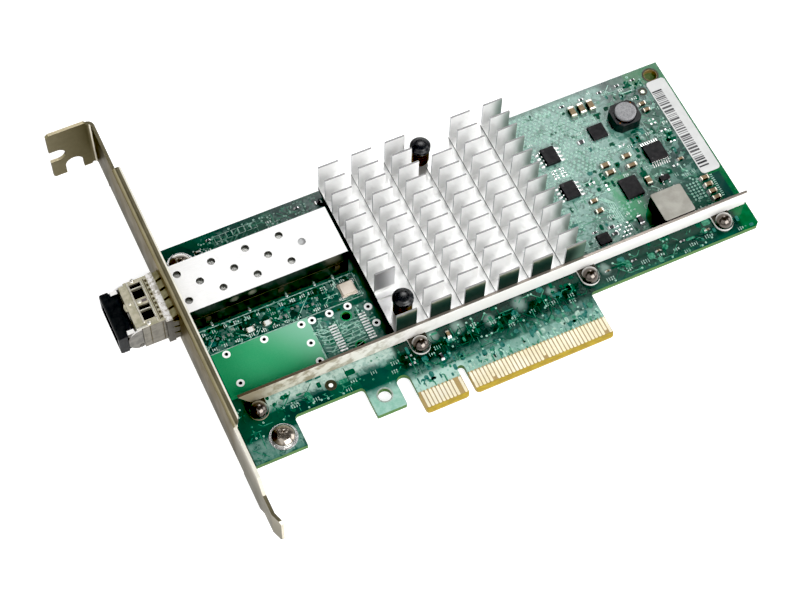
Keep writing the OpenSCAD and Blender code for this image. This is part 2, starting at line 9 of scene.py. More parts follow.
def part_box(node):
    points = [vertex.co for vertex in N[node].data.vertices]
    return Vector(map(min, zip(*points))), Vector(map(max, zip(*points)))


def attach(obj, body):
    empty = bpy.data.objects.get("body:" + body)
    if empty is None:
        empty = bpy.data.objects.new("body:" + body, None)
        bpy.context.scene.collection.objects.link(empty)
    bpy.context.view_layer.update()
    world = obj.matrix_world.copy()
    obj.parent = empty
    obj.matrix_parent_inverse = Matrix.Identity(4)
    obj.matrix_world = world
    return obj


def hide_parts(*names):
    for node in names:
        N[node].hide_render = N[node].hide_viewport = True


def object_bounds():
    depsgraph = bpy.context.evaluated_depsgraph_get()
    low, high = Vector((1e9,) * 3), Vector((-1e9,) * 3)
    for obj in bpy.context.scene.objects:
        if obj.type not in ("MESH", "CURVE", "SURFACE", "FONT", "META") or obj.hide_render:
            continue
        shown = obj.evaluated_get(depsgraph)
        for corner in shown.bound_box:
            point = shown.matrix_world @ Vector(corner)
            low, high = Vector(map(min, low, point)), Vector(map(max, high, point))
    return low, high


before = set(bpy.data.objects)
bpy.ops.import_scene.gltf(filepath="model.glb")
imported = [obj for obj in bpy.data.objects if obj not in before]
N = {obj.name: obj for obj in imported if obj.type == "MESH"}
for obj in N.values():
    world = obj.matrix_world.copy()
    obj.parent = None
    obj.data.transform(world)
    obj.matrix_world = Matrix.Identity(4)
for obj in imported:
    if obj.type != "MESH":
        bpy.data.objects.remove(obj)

CAD_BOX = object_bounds()
MM = 0.001
scene = bpy.context.scene

# ------------------------------------------------------------------ places
# Every place is in millimetres in the frame of the part, read from the
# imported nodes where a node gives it.


def box(node):
    lo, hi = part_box(node)
    return [c / MM for c in lo], [c / MM for c in hi]


T = 1.57                       # component side of the laminate
BOARD_LO, BOARD_HI = box("circuit_board")
CAGE_LO, CAGE_HI = box("cage_shell")
SINK_LO, SINK_HI = box("heat_sink")
BAR_LO, BAR_HI = box("stiffener_bar")
LABEL_LO, LABEL_HI = box("board_label")
HOUSE_LO, HOUSE_HI = box("transceiver_housing")
GRIP_LO, GRIP_HI = box("bail_grip")
CAN_LO, CAN_HI = box("crystal_can")
COIL_LO, COIL_HI = box("square_inductor")
CORE_LO, CORE_HI = box("round_inductor_core")


# ------------------------------------------------------------------ colour
def lin(c):
    c = c / 255.0
    return c / 12.92 if c <= 0.04045 else ((c + 0.055) / 1.055) ** 2.4


def rgb(r, g, b):
    return (lin(r), lin(g), lin(b), 1.0)


# --------------------------------------------------------------- materials
class Mat:
    """A procedural material built from nodes. Patterns read the object's
    own coordinates, in millimetres."""

    def __init__(self, name):
        self.m = bpy.data.materials.new(name)
        self.m.use_nodes = True
        self.t = self.m.node_tree
        self.t.nodes.clear()
        self.out = self.t.nodes.new("ShaderNodeOutputMaterial")
        self.b = self.t.nodes.new("ShaderNodeBsdfPrincipled")
        self.t.links.new(self.b.outputs[0], self.out.inputs[0])
        tc = self.t.nodes.new("ShaderNodeTexCoord")
        s = self.t.nodes.new("ShaderNodeVectorMath")
        s.operation = "SCALE"
        s.inputs["Scale"].default_value = 1000.0
        self.t.links.new(tc.outputs["Object"], s.inputs[0])
        self.p = s.outputs[0]
        sep = self.t.nodes.new("ShaderNodeSeparateXYZ")
        self.t.links.new(self.p, sep.inputs[0])
        self.x, self.y, self.z = sep.outputs
        self._n = None

    # plain node helpers
    def put(self, socket, value):
        if isinstance(value, bpy.types.NodeSocket):
            self.t.links.new(value, socket)
        else:
            socket.default_value = value

    def math(self, op, a, b=0.0, c=0.0, clamp=False):
        n = self.t.nodes.new("ShaderNodeMath")
        n.operation = op
        n.use_clamp = clamp
        self.put(n.inputs[0], a)
        self.put(n.inputs[1], b)
        if op in ("MULTIPLY_ADD", "SMOOTH_MIN", "COMPARE"):
            self.put(n.inputs[2], c)
        return n.outputs[0]

    def span(self, v, a, b, lo=0.0, hi=1.0, smooth=True):
        """0..1 (lo..hi) as v goes from a to b."""
        n = self.t.nodes.new("ShaderNodeMapRange")
        n.interpolation_type = "SMOOTHSTEP" if smooth else "LINEAR"
        n.clamp = True
        self.put(n.inputs["Value"], v)
        n.inputs["From Min"].default_value = a
        n.inputs["From Max"].default_value = b
        n.inputs["To Min"].default_value = lo
        n.inputs["To Max"].default_value = hi
        return n.outputs[0]

    def area(self, x0, x1, y0, y1, soft=0.1):
        """1 inside a rectangle seen from above, 0 outside."""
        a = self.span(self.x, x0 - soft, x0 + soft)
        b = self.span(self.x, x1 - soft, x1 + soft, 1, 0)
        c = self.span(self.y, y0 - soft, y0 + soft)
        d = self.span(self.y, y1 - soft, y1 + soft, 1, 0)
        return self.math("MULTIPLY", self.math("MULTIPLY", a, b),
                         self.math("MULTIPLY", c, d))

    def most(self, *vs):
        v = vs[0]
        for w in vs[1:]:
            v = self.math("MAXIMUM", v, w)
        return v

    def stretch(self, sx, sy, sz, vec=None):
        n = self.t.nodes.new("ShaderNodeMapping")
        n.inputs["Scale"].default_value = (sx, sy, sz)
        self.put(n.inputs["Vector"], vec or self.p)
        return n.outputs[0]

    def noise(self, scale, detail=3.0, rough=0.55, vec=None, warp=0.0):
        n = self.t.nodes.new("ShaderNodeTexNoise")
        n.inputs["Scale"].default_value = scale
        n.inputs["Detail"].default_value = detail
        n.inputs["Roughness"].default_value = rough
        n.inputs["Distortion"].default_value = warp
        self.put(n.inputs["Vector"], vec or self.p)
        return n.outputs["Fac"]

    def cells(self, scale, vec=None, feature="F1", jitter=1.0):
        n = self.t.nodes.new("ShaderNodeTexVoronoi")
        n.feature = feature
        n.inputs["Scale"].default_value = scale
        n.inputs["Randomness"].default_value = jitter
        self.put(n.inputs["Vector"], vec or self.p)
        return n.outputs["Distance"]

    def ramp(self, fac, *stops):
        n = self.t.nodes.new("ShaderNodeValToRGB")
        e = n.color_ramp.elements
        while len(e) < len(stops):
            e.new(0.5)
        for i, (pos, col) in enumerate(stops):
            e[i].position = pos
            e[i].color = col
        self.put(n.inputs["Fac"], fac)
        return n.outputs["Color"]

    def mix(self, fac, a, b, mode="MIX"):
        n = self.t.nodes.new("ShaderNodeMix")
        n.data_type = "RGBA"
        n.blend_type = mode
        self.put(n.inputs[0], fac)
        self.put(n.inputs[6], a)
        self.put(n.inputs[7], b)
        return n.outputs[2]

    def normal_axis(self):
        """The face's own normal, before bump, as x, y, z."""
        if self._n is None:
            g = self.t.nodes.new("ShaderNodeNewGeometry")
            s = self.t.nodes.new("ShaderNodeSeparateXYZ")
            self.t.links.new(g.outputs["True Normal"], s.inputs[0])
            self._n = s.outputs
        return self._n

    def up(self, lo=0.8, hi=0.95):
        return self.span(self.math("ABSOLUTE", self.normal_axis()[2]), lo, hi)

    def edge(self, radius, lo=0.02, hi=0.25):
        """1 on outer and inner edges, where wear shows."""
        b = self.t.nodes.new("ShaderNodeBevel")
        b.samples = 4
        b.inputs["Radius"].default_value = radius * MM
        g = self.t.nodes.new("ShaderNodeNewGeometry")
        d = self.t.nodes.new("ShaderNodeVectorMath")
        d.operation = "DOT_PRODUCT"
        self.t.links.new(b.outputs[0], d.inputs[0])
        self.t.links.new(g.outputs["True Normal"], d.inputs[1])
        return self.span(self.math("SUBTRACT", 1.0, d.outputs["Value"]), lo, hi)

    def bump(self, height, distance, strength=1.0, chain=None):
        n = self.t.nodes.new("ShaderNodeBump")
        n.inputs["Strength"].default_value = strength
        n.inputs["Distance"].default_value = distance * MM
        self.put(n.inputs["Height"], height)
        if chain is not None:
            self.put(n.inputs["Normal"], chain)
        return n.outputs[0]

    def set(self, **kw):
        names = {"color": "Base Color", "rough": "Roughness",
                 "metal": "Metallic", "normal": "Normal",
                 "spec": "Specular IOR Level", "coat": "Coat Weight",
                 "coat_rough": "Coat Roughness", "ior": "IOR",
                 "sheen": "Sheen Weight", "trans": "Transmission Weight",
                 "sss": "Subsurface Weight"}
        for k, v in kw.items():
            self.put(self.b.inputs[names[k]], v)
        return self.m


def metal(name, base, dark, rough=(0.25, 0.4), scratch=(1, 1, 1),
          scratch_amount=0.15, grain=0.003, edge_tint=None, edge_r=0.12,
          blotch=0.35, blotch_scale=0.12, metallic=1.0):
    """A worked metal: slow blotches, fine stretched scratches, brighter
    edges where they wear."""
    m = Mat(name)
    n = m.noise(blotch_scale, 4, 0.6)
    fine = m.noise(4.0, 2, 0.5, m.stretch(*scratch))
    f = m.span(n, 0.5 - blotch, 0.5 + blotch)
    col = m.mix(f, dark, base)
    shade = m.span(fine, 0.3, 0.7, 1.0 - scratch_amount, 1.0)
    col = m.mix(1.0, col, shade, "MULTIPLY")
    if edge_tint is not None:
        e = m.edge(edge_r)
        col = m.mix(e, col, edge_tint)
    r = m.span(m.math("ADD", m.math("MULTIPLY", n, 0.6),
                      m.math("MULTIPLY", fine, 0.4)), 0.35, 0.65,
               rough[1], rough[0])
    m.set(color=col, rough=r, metal=metallic,
          normal=m.bump(fine, grain))
    return m


MATS = {}


def plastic(name, base, light, rough=(0.3, 0.45), grain=0.004,
            grain_scale=14.0, edge_tint=None, edge_r=0.1, coat=0.0,
            spec=0.3):
    m = Mat(name)
    n = m.noise(0.9, 4, 0.6)
    g = m.noise(grain_scale, 2, 0.5)
    col = m.mix(m.span(n, 0.3, 0.75), base, light)
    if edge_tint is not None:
        col = m.mix(m.edge(edge_r), col, edge_tint)
    m.set(color=col, rough=m.span(n, 0.3, 0.7, rough[0], rough[1]),
          spec=spec, normal=m.bump(g, grain))
    if coat:
        m.set(coat=coat, coat_rough=0.15)
    return m


def build_materials():
    M = MATS

    # --- the laminate: solder mask on both faces, woven glass at the cut
    m = Mat("laminate")
    flat = m.up(0.93, 0.98)
    front = m.span(m.z, 0.8, 1.2)
    # the mask by the contacts is painted glare: pale and mottled over the tongue
    slow = m.noise(0.07, 3, 0.6)
    mid = m.noise(0.6, 4, 0.65)
    fine = m.noise(5.0, 3, 0.6)
    # copper pours under the mask: rectilinear patches
    brick = m.t.nodes.new("ShaderNodeTexVoronoi")
    brick.feature = "F1"
    brick.distance = "CHEBYCHEV"
    brick.inputs["Scale"].default_value = 0.16
    m.put(brick.inputs["Vector"], m.p)
    pour = m.span(brick.outputs["Color"], 0.35, 0.5)
    green = m.mix(m.span(slow, 0.35, 0.65), rgb(4, 50, 44), rgb(2, 68, 54))
    green = m.mix(m.math("MULTIPLY", pour, 0.3), green, rgb(0, 92, 62))
    green = m.mix(m.span(mid, 0.45, 0.75, 0, 0.35), green, rgb(2, 42, 38))
    solder_side = green
    # bare mask along the far edges, and a painted pool of light by the inductor
    rand = m.math("MAXIMUM", m.area(83.2, 89, 12, 69, 0.25),
                  m.area(77.5, 89, 63.8, 69, 0.5))
    green = m.mix(rand, green, m.mix(m.span(mid, 0.3, 0.7), rgb(0, 84, 44),
                                     rgb(0, 100, 54)))
    green = m.mix(m.area(83.4, 86.6, 23, 31.6, 0.2), green, rgb(2, 56, 48))
    painted_glare = m.math("MULTIPLY", m.area(56.6, 64.4, 27.5, 41, 1.2), 0.8)
    green = m.mix(painted_glare, green, rgb(26, 140, 88))
    # the bare copper plane of the unused port, darker at its left end, with painted glare
    # fading in towards its right end
    plane = m.area(-54.5, -28.7, 22.6, 36.0, 0.08)
    glare_fade = m.span(m.math("ADD", m.x, m.math("MULTIPLY", m.y, 0.9)),
                  -16, 5)
    green = m.mix(plane, green, m.mix(
        glare_fade, m.mix(m.span(m.x, -55, -44), m.mix(
            m.span(fine, 0.3, 0.7), rgb(40, 134, 86), rgb(50, 142, 94)),
            m.mix(m.span(fine, 0.3, 0.7), rgb(54, 152, 102),
                  rgb(66, 162, 112))), rgb(136, 192, 166)))
    # paler mask in torn patches; over the tongue, the tab and the field right of the heat
    # sink the paleness is painted glare, under the bar painted reflection
    torn = m.noise(0.34, 5, 0.62, None, 1.2)
    patch = m.span(torn, 0.44, 0.5, 0.3, 1.0)
    pale = m.most(
        m.math("MULTIPLY", m.area(-13, 39.2, 5.4, 9.4, 0.3),
               m.span(torn, 0.4, 0.54, 0.62, 1.0)),
        m.math("MULTIPLY", m.area(-13, 39.2, 5.4, 12.0, 0.9),
               m.span(torn, 0.42, 0.56, 0.05, 0.42)),
        m.math("MULTIPLY", m.area(42, 70, 43, 68.4, 1.6),
               m.span(torn, 0.42, 0.48, 0.45, 0.95)),
        m.math("MULTIPLY", m.area(42, 58, 22, 44, 1.6), patch),
        m.math("MULTIPLY", m.math("MULTIPLY", m.area(58, 82, 33, 66, 2.0),
                                  m.span(torn, 0.5, 0.56)), 0.55),
        m.math("MULTIPLY", m.math("MULTIPLY", m.area(-56, -13, 36, 43.6, 0.5),
                                  m.span(torn, 0.5, 0.56)), 0.35),
        m.math("MULTIPLY", m.math("MULTIPLY", m.area(-46, -13, 58, 68, 0.5),
                                  m.span(torn, 0.52, 0.58)), 0.3),
        m.math("MULTIPLY", m.math("MULTIPLY", m.area(-48, -13.5, 15.8, 20,
                                                     0.5), patch), 0.8),
        m.math("MULTIPLY", m.math("MULTIPLY", m.area(-28.5, -13.2, 22, 34.3,
                                                     0.3), patch), 0.5),
        m.math("MULTIPLY", m.math("MULTIPLY", m.area(-56, -42.5, 4, 10, 0.6),
                                  patch), 0.7),
        m.math("MULTIPLY", m.area(-24.2, -16.1, 4, 11, 0.6), 0.8))
    # painted shadow: the mask is darker in front of the bar and beside the cage
    painted_shade = m.math("MULTIPLY", m.area(-13.0, 41.0, 12.0, 20.5, 1.4), 0.88)
    painted_shade = m.most(painted_shade, m.math("MULTIPLY", m.area(41, 84, 14, 20, 0.8), 0.74),
                  m.math("MULTIPLY", m.area(-50, -13.2, 41.0, 43.6, 0.5),
                         0.7),
                  m.math("MULTIPLY", m.area(-56, -28.8, 36.4, 43.6, 0.6),
                         0.4))
    green = m.mix(painted_shade, green, m.mix(m.span(mid, 0.4, 0.65), rgb(4, 26, 20),
                                     rgb(8, 48, 38)))
    # painted reflections: soft pale spots on the mask in front of the bar
    painted_glows = None
    for rx, ry, rr in ((4.2, 18.2, 2.2), (-2.6, 18.6, 2.0),
                       (12.4, 16.6, 1.7), (21.2, 17.6, 2.4),
                       (30.2, 17.4, 1.5), (45.5, 17.6, 1.6)):
        dx = m.math("MULTIPLY", m.math("SUBTRACT", m.x, rx), 1.2)
        dy = m.math("SUBTRACT", m.y, ry)
        d = m.math("SQRT", m.math("ADD", m.math("MULTIPLY", dx, dx),
                                  m.math("MULTIPLY", dy, dy)))
        k = m.span(m.math("ADD", d, m.math("MULTIPLY", mid, 1.6)), 1.2,
                   rr + 1.4, 0.8, 0.0)
        painted_glows = k if painted_glows is None else m.math("MAXIMUM", painted_glows, k)
    green = m.mix(painted_glows, green, rgb(122, 146, 138))
    spot = m.cells(0.78, jitter=0.6)
    speck = m.span(spot, 0.16, 0.3, 1.0, 0.0)
    pale_col = m.mix(m.span(mid, 0.3, 0.7), rgb(86, 132, 120),
                     rgb(132, 166, 156))
    pale_col = m.mix(m.math("MULTIPLY", speck, 0.3), pale_col,
                     rgb(58, 118, 104))
    green = m.mix(pale, green, pale_col)
    # painted glare over the tongue, stronger towards its left
    over = m.math("MULTIPLY", m.area(-13, 39.2, 5.2, 9.2, 1.2),
                  m.span(m.math("ADD", m.x, m.math("MULTIPLY", mid, 14.0)),
                         40, -6, 0.1, 0.75))
    green = m.mix(over, green, m.mix(speck, rgb(150, 190, 176),
                                     rgb(112, 164, 148)))
    # the brightest painted glare, at the tongue's left end
    green = m.mix(m.math("MULTIPLY", m.area(-13, 1.2, 5.2, 9.6, 1.2), 0.6),
                  green, m.mix(speck, rgb(180, 208, 198),
                               rgb(148, 190, 176)))
    # painted reflection: a pale band on the mask just below the bar
    green = m.mix(m.math("MULTIPLY", m.area(-50, -13.4, 17.2, 20.6, 0.9),
                         m.span(mid, 0.3, 0.6, 0.35, 0.85)), green,
                  m.mix(speck, rgb(176, 196, 188), rgb(146, 172, 162)))
    # painted glare over the tab
    green = m.mix(m.area(-24.4, -15.8, 3.4, 9.4, 1.0), green,
                  m.mix(m.span(mid, 0.3, 0.7), rgb(128, 176, 158),
                        rgb(158, 194, 182)))
    green = m.mix(front, solder_side, green)
    # bare laminate under and between the contacts
    strip = m.area(-14, 40, -2, 5.75, 0.04)
    tan = m.mix(m.span(fine, 0.3, 0.7), rgb(152, 130, 84), rgb(172, 148, 98))
    face = m.mix(strip, green, tan)
    # the cut edge: glass weave in layers
    layers = m.noise(1.0, 2, 0.5, m.stretch(0.5, 0.5, 9.0))
    cut = m.mix(m.span(layers, 0.35, 0.65), rgb(40, 84, 32),
                rgb(78, 116, 48))
    tips = m.area(-13.2, 39.6, -1, 1.02, 0.03)
    ochre = m.mix(m.span(layers, 0.3, 0.7), rgb(136, 112, 2),
                  rgb(164, 140, 10))
    cut = m.mix(m.area(-13.2, 39.6, -1, 5.0, 0.05), cut, ochre)
    col = m.mix(flat, cut, face)
    col = m.mix(m.math("MULTIPLY", tips, 1.0), col, ochre)
    rough = m.mix(flat, (0.6, 0.6, 0.6, 1),
                  m.span(mid, 0.3, 0.7, 0.12, 0.2))
    rough = m.mix(m.math("MAXIMUM", strip, tips), rough, (0.5, 0.5, 0.5, 1))
    orange = m.noise(1.6, 2, 0.5)
    wave = m.bump(orange, 0.008, 0.5)
    h = m.bump(m.math("MULTIPLY", fine, flat), 0.006, 1.0, wave)
    m.set(color=col, rough=rough, spec=0.4, normal=h)
    M["laminate"] = m.m

    # --- mask over a raised trace
    m = Mat("masked_copper")
    n = m.noise(1.2, 3, 0.6)
    m.set(color=m.mix(m.span(n, 0.3, 0.7), rgb(22, 100, 74),
                      rgb(54, 132, 104)),
          rough=m.span(n, 0.3, 0.7, 0.18, 0.3), spec=0.6,
          normal=m.bump(m.noise(6, 2), 0.004))
    M["trace"] = m.m

    # --- plated bracket: painted reflection tones across its flat, pale sheared edges
    m = Mat("bracket_steel")
    n = m.noise(0.18, 4, 0.6)
    fine = m.noise(4.0, 2, 0.5, m.stretch(0.25, 3.0, 0.25))
    # painted reflection: the flat's tone ramps across its width
    across = m.span(m.z, -1.0, 18.5, 0, 1, False)
    blade_painted_reflection = m.ramp(across, (0.0, rgb(76, 74, 70)), (0.24, rgb(83, 79, 72)),
                   (0.42, rgb(102, 94, 78)), (0.6, rgb(101, 90, 66)),
                   (0.9, rgb(96, 84, 58)))
    nose_painted_reflection = m.ramp(across, (0.0, rgb(104, 100, 92)),
                     (0.24, rgb(124, 118, 104)), (0.45, rgb(146, 132, 104)),
                     (0.6, rgb(142, 128, 98)), (0.9, rgb(138, 122, 92)))
    tail_painted_reflection = m.ramp(across, (0.0, rgb(112, 111, 108)),
                     (0.26, rgb(115, 114, 108)), (0.46, rgb(124, 122, 114)),
                     (0.64, rgb(146, 142, 134)), (0.84, rgb(212, 209, 203)))
    # painted reflections: lighter by the nose and down the tail; darker towards the top
    # end
    blade_painted_reflection = m.mix(m.area(-70, -50, 42.5, 59, 2.0), blade_painted_reflection, nose_painted_reflection)
    blade_painted_reflection = m.mix(m.span(m.y, 11, 6.5), blade_painted_reflection, tail_painted_reflection)
    blade_painted_reflection = m.mix(m.span(m.y, 88, 96), blade_painted_reflection, rgb(62, 58, 51))
    nx, ny, nz = m.normal_axis()
    flat = m.span(m.math("ABSOLUTE", nx), 0.86, 0.97)
    # painted highlight where the stiffening fold's curve faces up, and the sheared end of
    # its leg
    bend_painted_highlight = m.ramp(m.math("ABSOLUTE", nz), (0.2, rgb(126, 120, 102)),
                  (0.7, rgb(138, 131, 100)), (0.97, rgb(232, 219, 184)))
    rolled = m.math("MULTIPLY", m.span(m.math("ABSOLUTE", ny), 0.3, 0.1),
                    m.span(m.x, -56.6, -56.7))
    lip = m.math("MULTIPLY", m.math("MULTIPLY", m.most(
        m.span(m.x, -57.32, -57.2), m.span(m.y, 9.6, 8.8)),
                                    m.span(m.x, -56.6, -56.7)),
                 m.span(nz, 0.7, 0.9))
    lip = m.math("MULTIPLY", lip, m.span(m.z, 14.0, 15.0))
    col = m.mix(rolled, rgb(232, 226, 210), bend_painted_highlight)
    col = m.mix(flat, col, blade_painted_reflection)
    # painted shade: the turned tabs lie flat and are painted darker
    tab_painted_shade = m.math("MULTIPLY", m.up(0.9, 0.97), m.span(m.x, -61.0, -60.0))
    col = m.mix(tab_painted_shade, col, rgb(122, 116, 96))
    # painted shade: faces at the top end that point along Y are painted dark olive
    lug_painted_shade = m.math("MULTIPLY", m.span(m.math("ABSOLUTE", ny), 0.7, 0.9),
                 m.math("GREATER_THAN", m.y, 90.0))
    col = m.mix(lug_painted_shade, col, m.mix(m.span(m.x, -78, -60), rgb(120, 114, 94),
                                rgb(98, 92, 72)))
    col = m.mix(lip, col, rgb(230, 227, 214))
    # a little more of the tail's painted reflection on its flat faces
    tail = m.math("MULTIPLY", m.span(m.y, 9.6, 8.2), flat)
    col = m.mix(m.math("MULTIPLY", tail, 0.3), col, tail_painted_reflection)
    col = m.mix(1.0, col, m.span(n, 0.25, 0.75, 0.84, 1.0), "MULTIPLY")
    col = m.mix(1.0, col, m.span(fine, 0.3, 0.7, 0.94, 1.0), "MULTIPLY")
    m.set(color=col, rough=m.span(n, 0.3, 0.7, 0.3, 0.42),
          metal=m.mix(lip, (0.75, 0.75, 0.75, 1), (0.05, 0.05, 0.05, 1)),
          normal=m.bump(fine, 0.0015))
    # dull plating: little gain in reflection at a grazing angle
    m.b.inputs["Specular Tint"].default_value = (0.5, 0.47, 0.4, 1)
    M["bracket_steel"] = m.m

    def domed(key, name, centre, painted_rim, rough):
        m = Mat(name)
        n = m.noise(1.2, 3, 0.6)
        # painted reflection: by the angle it is seen at, each dome's edge is painted
        # near-white
        lw = m.t.nodes.new("ShaderNodeLayerWeight")
        lw.inputs["Blend"].default_value = 0.5
        col = m.mix(m.span(lw.outputs["Facing"], 0.3, 0.78), centre, painted_rim)
        col = m.mix(1.0, col, m.span(n, 0.3, 0.7, 0.86, 1.0), "MULTIPLY")
        m.set(color=col, rough=m.span(n, 0.3, 0.7, *rough), metal=1.0,
              normal=m.bump(m.noise(9, 2), 0.0008))
        M[key] = m.m
    domed("screw_steel", "screw_steel", rgb(160, 152, 142),
          rgb(250, 249, 247), (0.12, 0.24))
    domed("rivet_steel", "rivet_steel", rgb(104, 98, 93),
          rgb(250, 249, 248), (0.14, 0.26))
    m = Mat("cage_steel")
    n = m.noise(0.15, 3, 0.6)
    fine = m.noise(4.0, 2, 0.5, m.stretch(0.3, 2.5, 2.5))
    # painted light: the top is near-white, the sides a dark green ramp painted as the
    # board's reflection
    top = m.up(0.6, 0.9)
    col = m.mix(top, m.ramp(m.span(m.z, 1.5, 11.5, 0, 1, False),
                            (0.0, rgb(62, 84, 74)), (0.45, rgb(70, 78, 64)),
                            (0.6, rgb(56, 62, 54)), (1.0, rgb(84, 92, 86))),
                m.mix(m.span(n, 0.3, 0.7), rgb(244, 244, 243),
                      rgb(252, 252, 251)))
    # two painted reflections: soft pale spots on the sides
    for gx in (-44.4, -39.6):
        dx = m.math("SUBTRACT", m.x, gx)
        dz = m.math("SUBTRACT", m.z, 9.4)
        d = m.math("SQRT", m.math("ADD", m.math("MULTIPLY", dx, dx),
                                  m.math("MULTIPLY", dz, dz)))
        k = m.math("MULTIPLY", m.span(d, 0.2, 1.5, 0.85, 0.0),
                   m.math("SUBTRACT", 1.0, top))
        col = m.mix(k, col, rgb(222, 212, 196))
    col = m.mix(m.span(m.x, -56.7, -57.0), col, rgb(74, 68, 50))
    col = m.mix(1.0, col, m.span(fine, 0.3, 0.7, 0.95, 1.0), "MULTIPLY")
    m.set(color=col, rough=m.mix(top, (0.28, 0.28, 0.28, 1),
                                 m.span(n, 0.3, 0.7, 0.5, 0.6)),
          metal=m.mix(top, (1, 1, 1, 1), (0.25, 0.25, 0.25, 1)),
          normal=m.bump(fine, 0.002))
    M["cage_steel"] = m.m
    m = Mat("collar_steel")
    n = m.noise(0.9, 4, 0.65)
    fine = m.noise(3.0, 3, 0.6)
    band = m.mix(m.span(n, 0.4, 0.58), rgb(190, 184, 172),
                 rgb(252, 250, 248))
    leaf = m.mix(m.span(n, 0.35, 0.65), rgb(136, 130, 98),
                 rgb(170, 164, 130))
    col = m.mix(m.span(m.x, -60.7, -60.3), band, leaf)
    # painted shade: the collar's side faces are darker
    side = m.span(m.math("ABSOLUTE", m.normal_axis()[2]), 0.6, 0.3)
    col = m.mix(m.math("MULTIPLY", side, 0.95), col, rgb(66, 62, 52))
    m.set(color=col, rough=m.span(fine, 0.3, 0.7, 0.3, 0.45), metal=0.5,
          normal=m.bump(fine, 0.006))
    M["collar_steel"] = m.m
    M["black_plastic"] = plastic(
        "black_plastic", rgb(20, 21, 23), rgb(30, 31, 33), (0.2, 0.3),
        0.002, 14.0, None, 0.1, 0.0, 0.5).m
    M["contact_gold"] = metal(
        "contact_gold", rgb(252, 238, 190), rgb(236, 212, 140),
        (0.22, 0.34), (3, 0.4, 1), 0.06, 0.0015, None, 0.05, 0.3, 0.25).m
    m = Mat("casting")
    n = m.noise(0.7, 4, 0.6)
    fine = m.noise(5.0, 3, 0.6)
    col = m.mix(m.span(n, 0.35, 0.65), rgb(170, 166, 142),
                rgb(198, 192, 172))
    # painted light: the tops carry a khaki painted reflection, the side faces are greyer
    # and darker
    side = m.span(m.math("ABSOLUTE", m.normal_axis()[2]), 0.6, 0.3)
    col = m.mix(side, col, m.mix(m.span(n, 0.35, 0.65), rgb(112, 108, 99),
                                 rgb(132, 128, 118)))
    # painted shade: in the ports and windows the metal is painted dark
    painted_shade = m.math("MULTIPLY", m.span(m.z, 11.4, 10.2),
                  m.area(-67.2, -63.6, 45.6, 57.6, 0.1))
    col = m.mix(painted_shade, col, rgb(20, 20, 34))
    m.set(color=col, rough=m.span(fine, 0.3, 0.7, 0.38, 0.52), metal=0.5,
          normal=m.bump(fine, 0.01))
    M["casting"] = m.m
    M["cover_steel"] = metal(
        "cover_steel", rgb(200, 200, 196), rgb(160, 160, 156),
        (0.2, 0.35), (0.4, 2, 2), 0.12, 0.002, rgb(236, 236, 232)).m
    M["small_board"] = plastic(
        "small_board", rgb(8, 70, 44), rgb(20, 96, 62), (0.25, 0.35)).m
    M["barrel_steel"] = metal(
        "barrel_steel", rgb(216, 214, 206), rgb(170, 168, 158),
        (0.15, 0.28), (2, 0.5, 0.5), 0.12, 0.002).m
    m = Mat("bail_steel")
    n = m.noise(0.6, 4, 0.6)
    fine = m.noise(4.0, 2, 0.5, m.stretch(0.5, 1, 2))
    col = m.mix(m.span(n, 0.35, 0.65), rgb(98, 96, 91),
                rgb(122, 119, 113))
    # painted highlight: the up-facing faces are near-white
    col = m.mix(m.span(m.normal_axis()[2], 0.5, 0.8), col,
                rgb(252, 250, 247))
    m.set(color=col, rough=m.span(fine, 0.3, 0.7, 0.36, 0.46), metal=0.5,
          normal=m.bump(fine, 0.002))
    M["bail_steel"] = m.m
    M["grip_plastic"] = plastic(
        "grip_plastic", rgb(20, 21, 22), rgb(30, 31, 32), (0.42, 0.55),
        0.01, 9.0, rgb(48, 49, 52), 0.14, 0.0, 0.25).m
    M["pin_steel"] = metal(
        "pin_steel", rgb(130, 128, 122), rgb(84, 82, 76), (0.2, 0.35)).m

    # --- bright extruded aluminium of the heat sink
    m = Mat("sink_aluminium")
    g = m.noise(9.0, 3, 0.6)
    brush = m.noise(3.0, 2, 0.5, m.stretch(0.15, 1, 2.2))
    slow = m.noise(0.1, 3, 0.5)
    col = m.mix(m.span(slow, 0.3, 0.7), rgb(250, 250, 249),
                rgb(255, 255, 254))
    col = m.mix(1.0, col, m.span(brush, 0.3, 0.7, 0.96, 1.0), "MULTIPLY")
    nx, ny, nz = m.normal_axis()
    above = m.span(m.z, 6.0, 7.0)
    sheared = m.math("MULTIPLY", m.span(nz, 0.6, 0.9), above)
    col = m.mix(sheared, col, rgb(150, 150, 150))
    # painted shade on the fins' end faces
    ends = m.math("MULTIPLY", m.span(m.math("ABSOLUTE", nx), 0.6, 0.9),
                  above)
    col = m.mix(m.math("MULTIPLY", ends, 0.7), col, rgb(176, 177, 182))
    # painted shade on the fins' back faces
    back = m.math("MULTIPLY", m.span(ny, 0.5, 0.8), above)
    col = m.mix(m.math("MULTIPLY", back, 0.4), col, rgb(190, 191, 196))
    # painted reflection on the front row's faces: dark green low down, lighter to the top
    first = m.math("MULTIPLY", m.span(m.y, 23.4, 23.0),
                   m.math("MULTIPLY", m.span(ny, -0.6, -0.9), above))
    painted_board_reflection = m.ramp(m.span(m.math("ADD", m.z, m.math(
        "MULTIPLY", m.noise(0.5, 3, 0.6), 1.2)), 7.0, 16.0, 0, 1, False),
        (0.0, rgb(8, 28, 22)), (0.52, rgb(8, 30, 24)),
        (0.68, rgb(16, 40, 32)), (0.8, rgb(50, 62, 50)),
        (0.92, rgb(150, 148, 132)), (1.0, rgb(214, 210, 198)))
    col = m.mix(m.math("MULTIPLY", first, 0.985), col, painted_board_reflection)
